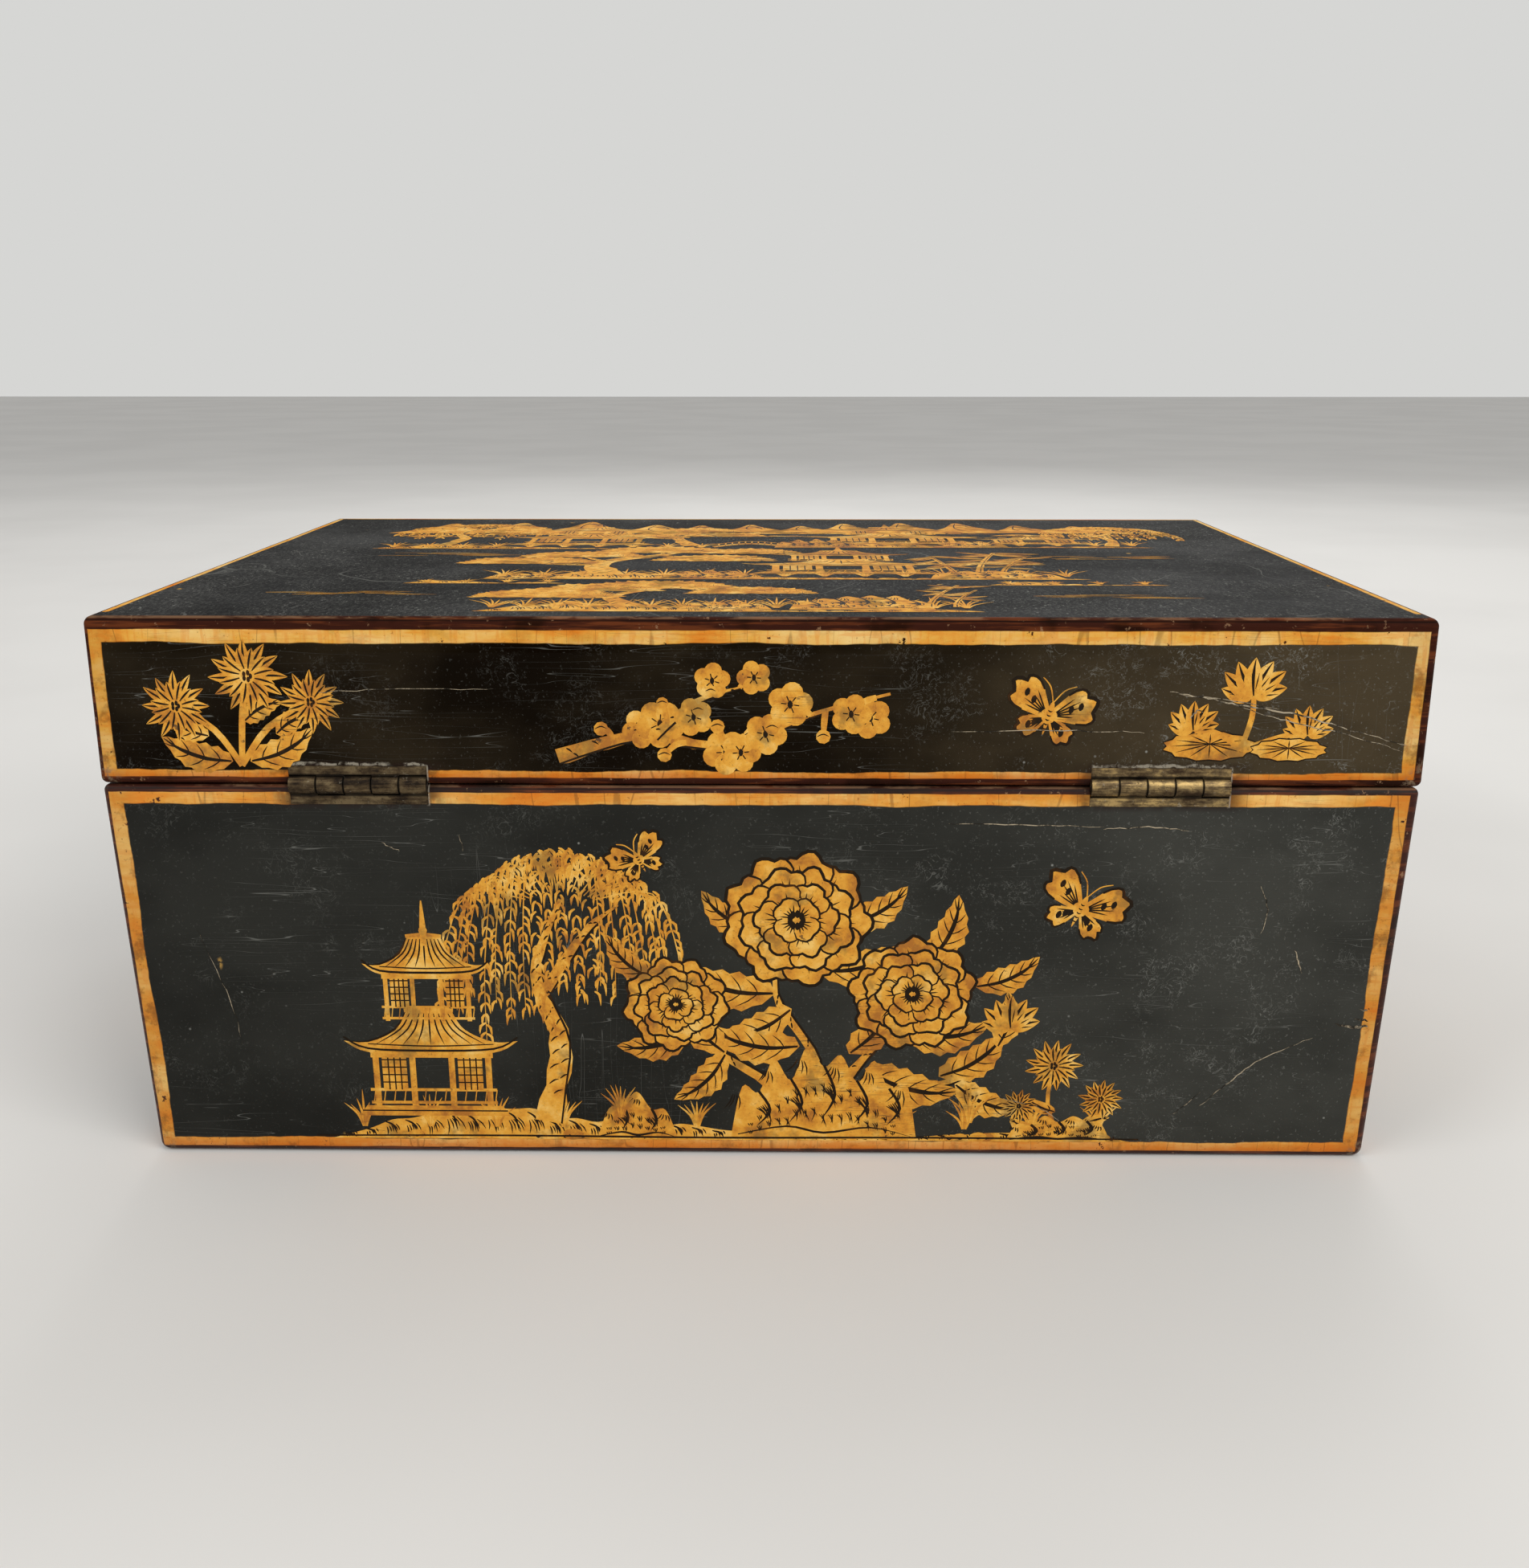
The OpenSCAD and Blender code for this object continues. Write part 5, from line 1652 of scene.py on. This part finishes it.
        g.at(24, -92).rock(34, 22, 6)
        g.at(-8, -92).rock(22, 12, 4)
        g.at()
        for x, h in ((40, 34), (46, 26)):
            g.bamboo(x, -88, h, 0.3, 9)
        for pool in ((-92, 8, 44, 5), (100, 2, 40, 5), (-100, -66, 44, 4), (88, -70, 50, 4)):
            g.water(*pool)

    def build(self) -> None:
        """Makes, dresses and fixes the drawing of every face."""
        ochre, top_ochre, ink = OchrePaint(), OchrePaint("top_ochre_paint", 0.02), Ink()
        for draw, seed, side, part in (
                (self.body_back, 11, Side.BACK, "body"), (self.body_front, 23, Side.FRONT, "body"),
                (self.body_left, 37, Side.LEFT, "body"), (self.body_right, 41, Side.RIGHT, "body"),
                (self.lid_back, 53, Side.BACK, "lid"), (self.lid_front, 61, Side.FRONT, "lid"),
                (self.lid_end, 83, Side.LEFT, "lid"), (self.lid_end, 86, Side.RIGHT, "lid"),
                (self.lid_top, 71, Side.TOP, "lid")):
            self.garden, self.side = Garden(seed), side
            draw()
            pieces = self.garden.meshes(f"{part}_{side.name.lower()}", self.spot(side, part == "lid"))
            for piece, finish in zip(pieces, (top_ochre if side is Side.TOP else ochre, ink)):
                finish.dress(piece)
                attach(piece, "lid" if part == "lid" else "case")
        self.scratches()

    def scratches(self) -> None:
        """Long scratches and a crack across the hinged side."""
        lid, body = Pen(5), Pen(6)
        for pen, runs in (
                (lid, (
                    (0.36, (93, 118.6), (102, 117.2), (111, 115.2), (122, 113.6), (133, 110.4),
                     (147.5, 106.2)), (0.22, (108, 115.6), (120, 112.0), (134, 108.8), (147, 104.8)),
                    (0.2, (95, 118.0), (106, 116.8), (118, 114.6)),
                    (0.16, (-100, 118), (-84, 118.8), (-60, 119.0)),
                    (0.2, (44, 109.4), (70, 109.6), (88, 109.2)),
                    (0.3, (98, 112.4), (99.5, 114.2), (101, 114)), (0.3, (103, 112.6), (104.5, 113.8)))),
                (body, (
                    (0.24, (44, 87.2), (62, 87.0), (80, 86.6)), (0.26, (80, 86.0), (92, 86.6), (100, 85.6)),
                    (0.26, (108, 14), (114, 20), (122, 27), (134, 33)), (0.2, (102, 12), (108, 18)),
                    (0.18, (60, 16), (68, 14), (74, 10)), (0.16, (-134, 60), (-128, 42), (-126, 30)),
                    (0.24, (118, 72), (120, 66), (119, 60)), (0.34, (127.5, 56), (129.5, 50)),
                    (0.7, (147, 36.2), (143, 35.8), (139, 36.6)), (0.5, (147, 37.6), (143.5, 38)),
                    (0.4, (146.5, 40.2), (144.5, 40.4)), (0.22, (-88, 82), (-84, 80)),
                    (0.22, (-70, 84), (-69, 80))))):
            for width, *run in runs:
                pen.line([(u + pen.some(-0.2, 0.2), v + pen.some(-0.22, 0.22)) for u, v in smooth(run, 8)],
                         width, False, 0.4, 0.3, 1)
        for pen, name, on_lid in ((lid, "lid_back_scratches", True), (body, "body_back_scratches", False)):
            piece, spare = pen.meshes(name, self.spot(Side.BACK, on_lid), 0.07)
            bpy.data.objects.remove(spare)
            piece.name = name
            Scuff().dress(piece)
            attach(piece, "lid" if on_lid else "case")


def moved(piece: Object, move: Callable[[Vector], Vector]) -> None:
    """Moves every point of a mesh to where move puts it."""
    for point in piece.data.vertices:
        point.co = move(point.co)


def added(primitive: Callable[..., set[str]], **sizes: Any) -> Object:
    """Adds a primitive by itself, with nothing else selected.

    Args:
        primitive: The operator that adds it.
        sizes: The operator's own settings.

    Returns:
        The new piece.
    """
    bpy.ops.object.select_all(action="DESELECT")
    primitive(**sizes)
    return bpy.context.active_object


def outwards(piece: Object) -> None:
    """Turns all the faces of a closed piece outwards."""
    only(piece)
    bpy.ops.object.mode_set(mode="EDIT")
    bpy.ops.mesh.select_all(action="SELECT")
    bpy.ops.mesh.normals_make_consistent(inside=False)
    bpy.ops.object.mode_set(mode="OBJECT")


def padded_face(low: Vector, high: Vector, base: float, height: Callable[[float, float], float], step: float,
                name: str, down: bool = False) -> Object:
    """A padded rectangle, flat on its hidden side. All its sizes are in metres.

    Args:
        low, high: Its corners.
        base: Level of the hidden side.
        height: Gives its thickness at a place.
        step: Width of the grid's cells.
        name: Its name.
        down: Whether the side that shows faces down.

    Returns:
        The piece.
    """
    wide, deep = high.x - low.x, high.y - low.y
    piece = added(bpy.ops.mesh.primitive_grid_add, x_subdivisions=round(wide / step),
                  y_subdivisions=round(deep / step), size=1)
    piece.name = name
    sign = -1.0 if down else 1.0
    rim = height(low.x, low.y)

    def lay(p: Vector) -> Vector:
        """The place of a grid point, its sides pulled in between the corners."""
        x = (low.x + high.x) / 2 + p.x * wide * (1 - 0.004 * cos(pi * p.y))
        y = (low.y + high.y) / 2 + p.y * deep * (1 - 0.006 * cos(pi * p.x))
        edge = max(abs(p.x), abs(p.y)) > 0.4999
        return Vector((x, y, base + sign * (rim if edge else height(x, y))))

    moved(piece, lay)
    bpy.ops.object.mode_set(mode="EDIT")
    bpy.ops.mesh.select_all(action="SELECT")
    bpy.ops.mesh.region_to_loop()
    bpy.ops.mesh.extrude_edges_move(TRANSFORM_OT_translate={"value": (0, 0, -sign * rim)})
    bpy.ops.mesh.edge_face_add()
    bpy.ops.object.mode_set(mode="OBJECT")
    outwards(piece)
    return piece


def from_edge(low: Vector, high: Vector, x: float, y: float) -> float:
    """Distance in metres of a place to the nearest side of a rectangle."""
    return max(min(x - low.x, high.x - x, y - low.y, high.y - y), 0.0)


def puffed(piece: Object, held: Callable[[Vector], bool], pressure: float, cap: float, ease: float) -> None:
    """Fills a padded piece with air as cloth, and keeps its new shape.

    Args:
        piece: The piece.
        held: Tells whether a point is sewn or glued down.
        pressure: Pressure inside.
        cap: Furthest that a point may move.
        ease: Spare cloth, as a share of its size.
    """
    before = [point.co.copy() for point in piece.data.vertices]
    group = piece.vertex_groups.new(name="held")
    group.add([k for k, place in enumerate(before) if held(place)], 1.0, "REPLACE")
    cloth = piece.modifiers.new("cloth", "CLOTH")
    cloth.settings.vertex_group_mass = group.name
    cloth.settings.use_pressure = True
    cloth.settings.uniform_pressure_force = pressure
    cloth.settings.shrink_min = -ease
    cloth.settings.effector_weights.gravity = 0
    cloth.point_cache.frame_end = CLOTH_FRAMES
    for frame in range(1, CLOTH_FRAMES + 1):
        bpy.context.scene.frame_set(frame)
    only(piece)
    bpy.ops.object.modifier_apply(modifier=cloth.name)
    bpy.context.scene.frame_set(1)
    for point, place in zip(piece.data.vertices, before):
        gone = point.co - place
        if gone.length > cap:
            point.co = place + gone * (cap / gone.length)
    piece.vertex_groups.clear()


def twisted_cord(name: str, path: Sequence[Vector], radius: float, lay: float) -> Object:
    """A closed cord of three twisted strands along a path.

    Args:
        name: Its name.
        path: Corners of the path.
        radius, lay: Radius over the strands, and length of one turn.

    Returns:
        The cord.
    """
    run: list[Vector] = []
    for start, end in zip(path, list(path[1:]) + [path[0]]):
        count = max(int((end - start).length / (lay / 9)), 1)
        run += [start.lerp(end, k / count) for k in range(count)]
    sides, places, faces = 12, [], []
    up = Vector((0, 0, 1))
    for i, spot in enumerate(run):
        along = (run[(i + 1) % len(run)] - run[i - 1]).normalized()
        across = along.cross(up).normalized()
        for k in range(sides):
            a = tau * k / sides
            r = radius * (0.8 + 0.2 * cos(3 * (a - tau * i / 27)))
            places.append(spot + across * (r * cos(a)) + up * (r * sin(a)))
    for i in range(len(run)):
        a, b = i * sides, ((i + 1) % len(run)) * sides
        faces += [[a + k, b + k, b + (k + 1) % sides, a + (k + 1) % sides] for k in range(sides)]
    piece = from_mesh(name, places, faces)
    outwards(piece)
    bpy.ops.object.shade_smooth()
    return piece


@dataclass
class LidPanel:
    """The padded silk panel in the lid, drawn down by buttons into diamonds, with a cord round it."""

    pitch_x: float = 0.0633
    pitch_y: float = 0.092
    thick: float = 0.0052
    step: float = 0.0022
    button_r: float = 0.0034
    cord_r: float = 0.0016
    inset: float = 0.0012
    glue: float = 0.0002

    def tufts(self) -> list[Point]:
        """Places of the buttons."""
        rows = [((i + 0.5) * self.pitch_x, j * 0.5 * self.pitch_y) for i in range(-2, 2) for j in (-1, 1)]
        return rows + [(i * self.pitch_x, 0.0) for i in range(-1, 2)]

    def build(self) -> None:
        """Makes the panel, its buttons and its cord."""
        low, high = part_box("lid_pad")
        margin = Vector((self.inset, self.inset, 0))
        low, high = low + margin, high - margin
        knots, back = self.tufts(), high.z - self.glue

        def height(x: float, y: float) -> float:
            """Puffed between the buttons, drawn down at them and at the rim.

            Args:
                x, y: A place in metres.

            Returns:
                The thickness there.
            """
            s, t = x / self.pitch_x, y / self.pitch_y
            puff = (abs(sin(pi * (s + t))) * abs(sin(pi * (s - t)))) ** 0.42
            rim = 1 - exp(-from_edge(low, high, x, y) / 0.006)
            near = min(hypot(x - u, y - v) for u, v in knots)
            pull = 1 - 0.75 * exp(-(near / 0.006) ** 2)
            lumps = 1 + 0.1 * wander.noise(Vector((x * 90, y * 90, 3)))
            return 0.0012 + self.thick * rim * (0.42 + 0.58 * puff) * pull * lumps

        panel = padded_face(low, high, back, height, self.step, "lid_tufted_panel", True)

        def held(p: Vector) -> bool:
            """Under a button, at the rim or on the hidden side."""
            return (p.z > high.z - 0.0015 or from_edge(low, high, p.x, p.y) < 0.004
                    or min(hypot(p.x - u, p.y - v) for u, v in knots) < 0.0035)

        puffed(panel, held, 3.0, 0.0016, 0.04)
        only(panel)
        bpy.ops.object.shade_smooth()
        buttons = []
        for u, v in knots:
            buttons.append(added(bpy.ops.mesh.primitive_uv_sphere_add, segments=20, ring_count=12,
                                 radius=self.button_r))
            z = back - height(u, v) - 0.0004

            def dome(p: Vector) -> Vector:
                """Flattens the ball to a covered button with a dimple."""
                dimple = 0.0005 * exp(-((p.x ** 2 + p.y ** 2) / (0.3 * self.button_r) ** 2)) if p.z < 0 else 0
                return Vector((u + p.x, v + p.y, z + p.z * 0.42 + dimple))

            moved(buttons[-1], dome)
        only(*buttons)
        bpy.ops.object.join()
        bpy.ops.object.shade_smooth()
        buttons[0].name = "lid_panel_buttons"
        z = high.z - 0.0028
        inset = self.cord_r + self.glue
        corners = block(low.x + inset, low.y + inset, high.x - inset, high.y - inset)
        cord = twisted_cord("lid_panel_cord", [Vector((x, y, z)) for x, y in corners], self.cord_r, 0.008)
        Silk(rib=(1, 0.05, 1), pitch=0.7).dress(panel, buttons[0])
        Silk("cord_silk", paint(150, 104, 52), paint(196, 156, 92), (1, 1, 1), 0.4).dress(cord)
        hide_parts("lid_pad")
        for piece in (panel, buttons[0], cord):
            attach(piece, "lid")


@dataclass
class VelvetPad:
    """A thin velvet pad with a sewn channel along its edge."""

    name: str
    low: Vector
    high: Vector
    node: str
    body: str
    step: float = 0.002
    channel_in: float = 0.007
    channel_w: float = 0.0012

    def build(self) -> None:
        """Makes the pad in the space between its corners."""
        thick = self.high.z - self.low.z

        def height(x: float, y: float) -> float:
            """Crowned, sewn in along its edge, a little uneven.

            Args:
                x, y: A place in metres.

            Returns:
                The thickness there.
            """
            d = from_edge(self.low, self.high, x, y)
            crown = 0.35 + 0.65 * (1 - exp(-d / 0.0028))
            sewn = 0.42 * exp(-((d - self.channel_in) / self.channel_w) ** 2)
            uneven = 0.1 * wander.noise(Vector((x * 55, y * 55, thick * 900)))
            return thick * min(crown - sewn + uneven, 1.0)

        pad = padded_face(self.low, self.high, self.low.z, height, self.step, self.name)
        only(pad)
        bpy.ops.object.shade_smooth()
        Velvet().dress(pad)
        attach(pad, self.body)
        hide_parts(self.node)


@dataclass
class RingRolls:
    """Padded rolls side by side that hold rings between them, one modelled and the rest copied."""

    count: int = 8
    slack: float = 0.0005
    cell: float = 0.0014

    def build(self) -> None:
        """Makes the rolls."""
        low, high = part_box("ring_cushion")
        radius = (high.z - low.z) / 2
        pitch = (high.y - low.y - 2 * radius) / (self.count - 1)
        long = high.x - low.x
        roll = added(bpy.ops.mesh.primitive_cylinder_add, vertices=32, radius=radius - self.slack,
                     depth=long - 2 * self.slack, rotation=(0, radians(90), 0))
        bpy.ops.object.transform_apply(location=False, rotation=True, scale=False)
        bpy.ops.object.mode_set(mode="EDIT")
        bpy.ops.mesh.select_all(action="SELECT")
        bpy.ops.mesh.bevel(offset=0.0022, segments=4, affect="EDGES")
        bpy.ops.object.mode_set(mode="OBJECT")
        remesh = roll.modifiers.new("even", "REMESH")
        remesh.mode = "VOXEL"
        remesh.voxel_size = self.cell
        bpy.ops.object.modifier_apply(modifier=remesh.name)
        puffed(roll, lambda p: abs(p.x) > long / 2 - 0.0012, 4.0, self.slack * 0.9, 0.05)
        middle = Vector(((low.x + high.x) / 2, low.y + radius, (low.z + high.z) / 2))
        only(roll)
        bpy.ops.object.shade_smooth()
        for k in range(self.count):
            copy = roll if k == self.count - 1 else roll.copy()
            if copy is not roll:
                copy.data = roll.data.copy()
                bpy.context.scene.collection.objects.link(copy)
            copy.name = f"ring_roll_{k + 1}"
            place = middle + Vector((0, pitch * k, 0))
            moved(copy, lambda p: p + place)
            Velvet().dress(copy)
            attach(copy, "tray")
            if k == 0:
                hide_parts("ring_cushion")


@dataclass
class RibbonPull:
    """A loop of ribbon tacked inside one end of the tray."""

    side: int
    wide: float = 0.0116
    thick: float = 0.00045
    gape: float = 0.003
    tack_r: float = 0.0011

    def build(self) -> None:
        """Makes the loop and its two tacks."""
        low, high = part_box("tray_pulls")
        wall = high.x - self.thick / 2 if self.side > 0 else low.x + self.thick / 2
        foot, top = low.z + 0.0004, high.z - 0.0006
        path = [(0.0, foot), (0.0, foot + 0.006), (0.0, top - 0.006), (self.gape * 0.25, top - 0.0012),
                (self.gape * 0.62, top), (self.gape, top - 0.0028), (self.gape * 0.72, top - 0.008),
                (self.gape * 0.26, foot + 0.006), (self.gape * 0.2, foot)]
        run = smooth(path, 6)
        ribbon = added(bpy.ops.mesh.primitive_grid_add, x_subdivisions=len(run) - 1, y_subdivisions=8, size=1)
        ribbon.name = f"tray_pull_{'right' if self.side > 0 else 'left'}"

        def lay(p: Vector) -> Vector:
            """Lays a point of the strip along the loop."""
            k = round((p.x + 0.5) * (len(run) - 1))
            off, z = run[k]
            cup = 0.0003 * cos(pi * p.y) * sin(pi * k / (len(run) - 1))
            return Vector((wall - self.side * (off + cup), p.y * self.wide, z))

        moved(ribbon, lay)
        solid = ribbon.modifiers.new("cloth_thickness", "SOLIDIFY")
        solid.thickness, solid.offset = self.thick, 0
        only(ribbon)
        bpy.ops.object.modifier_apply(modifier=solid.name)
        bpy.ops.object.shade_smooth()
        length = sum(dist(a, b) for a, b in zip(run, run[1:]))
        Silk("ribbon_silk", paint(132, 34, 40), paint(176, 84, 78), (1, 1, 0.04), 0.5).dress(ribbon)
        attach(ribbon, "tray")
        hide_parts("tray_pulls")
        for y in (-0.28, 0.28):
            tack = added(bpy.ops.mesh.primitive_uv_sphere_add, segments=16, ring_count=10, radius=self.tack_r)
            tack.name = f"{ribbon.name}_tack_{'a' if y < 0 else 'b'}"
            spot = Vector((wall - self.side * (self.gape * 0.2 + 0.0002), y * self.wide, foot + 0.003))
            moved(tack, lambda p: spot + Vector((p.x * 0.5, p.y, p.z)))
            bpy.ops.object.shade_smooth()
            AgedBrass("tack_brass", polish=0.32).dress(tack)
            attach(tack, "tray")


@dataclass
class Linings:
    """All that is soft in the box: the lid's panel, pads, ring rolls and ribbon pulls."""

    tray_gap: float = 0.0002

    def compartments(self) -> list[tuple[str, Vector, Vector]]:
        """The five padded compartments, from the dividers round them.

        Returns:
            Name and corners of each.
        """
        low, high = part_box("tray_pads")
        cross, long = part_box("tray_cross_dividers"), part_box("tray_long_divider")
        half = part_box("ring_cushion")[1].x
        spans = {"left": (low.x, cross[0].x - self.tray_gap), "middle": (-half, half),
                 "right": (cross[1].x + self.tray_gap, high.x)}
        rows = {"back": (low.y, long[0].y - self.tray_gap), "front": (long[1].y + self.tray_gap, high.y)}
        return [(f"tray_pad_{r}_{c}", Vector((xs[0], ys[0], low.z)), Vector((xs[1], ys[1], high.z)))
                for c, xs in spans.items() for r, ys in rows.items() if (c, r) != ("middle", "back")]

    def build(self) -> None:
        """Makes every lining."""
        LidPanel().build()
        low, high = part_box("floor_pad")
        VelvetPad("floor_velvet_pad", low, high, "floor_pad", "case", 0.0024, 0.01, 0.0018).build()
        for name, low, high in self.compartments():
            VelvetPad(name, low, high, "tray_pads", "tray", 0.0015, 0.005, 0.001).build()
        RingRolls().build()
        for side in (-1, 1):
            RibbonPull(side).build()


def dress_boards(nodes: dict[str, Object]) -> None:
    """Puts the japan on the boards of the body and the lid.

    Args:
        nodes: CAD nodes by name.
    """
    body = Japan("body_japan", 152.2, 103.5, 0.0, 96.0, paint(22, 22, 18), paint(58, 58, 53),
                 paint(218, 150, 58), gloss=0.14, low_dull=0.6, lean=2.2 / 92, lean_from=94.5)
    lid = Japan("lid_japan", 152.5, 103.5, 96.3, 135.3, paint(13, 7, 2), paint(68, 58, 42),
                paint(222, 164, 70), gloss=0.03, low_dull=0.7, band_w=2.75, top_in=2.85, top_band=3.0,
                low_band=1.55, ochre_pale=paint(232, 196, 124), right_sheen_and_wear=0.85, right_sheen_from=0.0,
                has_top=True)
    lid_top = replace(lid, name="lid_top_japan", gloss=0.01)
    for name, piece in nodes.items():
        if name.startswith("body_"):
            body.dress(piece)
        elif name == "lid_top_board":
            lid_top.dress(piece)
        elif name.startswith("lid_") and name.endswith("rail"):
            lid.dress(piece)


def dress_hardware(nodes: dict[str, Object]) -> None:
    """Puts brass, iron and plain wood on the nodes that keep their own shape.

    Args:
        nodes: CAD nodes by name.
    """
    brass, iron = AgedBrass(), DarkIron()
    dark = replace(brass, name="dark_hinge_brass", bright=paint(112, 96, 70), dull=paint(76, 62, 44),
                   dark=paint(36, 28, 21), knuckled=True)
    worn = replace(brass, name="worn_hinge_brass", bright=paint(178, 150, 98), dull=paint(112, 94, 66),
                   dark=paint(60, 46, 32), knuckled=True)
    pine = Grained("bare_pine", paint(196, 158, 108), paint(168, 126, 80), paint(120, 82, 50), (0.05, 1, 1),
                   0.7, 0.2)
    cross = Grained("bare_pine_bearer", paint(186, 148, 98), paint(158, 116, 72), paint(112, 76, 46),
                    (1, 0.05, 1), 0.7, 0.2)
    long = Grained("waxed_wood_long", paint(152, 92, 52), paint(118, 66, 36), paint(72, 38, 22), (0.05, 1, 1))
    wide = replace(long, name="waxed_wood_cross", along=(1, 0.05, 1))
    along_x = ("tray_back_side", "tray_front_side", "tray_bottom", "tray_long_divider")
    for name, piece in nodes.items():
        if name == "bottom_board":
            pine.dress(piece)
        elif name.endswith("bearer"):
            cross.dress(piece)
        elif name in along_x:
            long.dress(piece)
        elif name.startswith("tray_") and name.endswith(("side", "dividers")):
            wide.dress(piece)
        elif name.endswith("pin") or name == "lock_bolt":
            iron.dress(piece)
        elif name.endswith("leaf"):
            (dark if name.startswith("left") else worn).dress(piece)
        elif name.endswith(("screws", "escutcheon", "plate")) or name in ("lock_case", "lock_cap"):
            brass.dress(piece)


def main() -> None:
    """Builds and dresses the box, piece by piece."""
    logging.basicConfig(level=logging.INFO, format="%(message)s")
    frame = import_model()
    Studio().build()
    dress_boards(frame["nodes"])
    dress_hardware(frame["nodes"])
    Linings().build()
    Penwork().build()
    for piece in bpy.context.scene.objects:
        if piece.type == "MESH":
            logging.info("%s: %d faces", piece.name, len(piece.data.polygons))


if __name__ == "__main__":
    main()
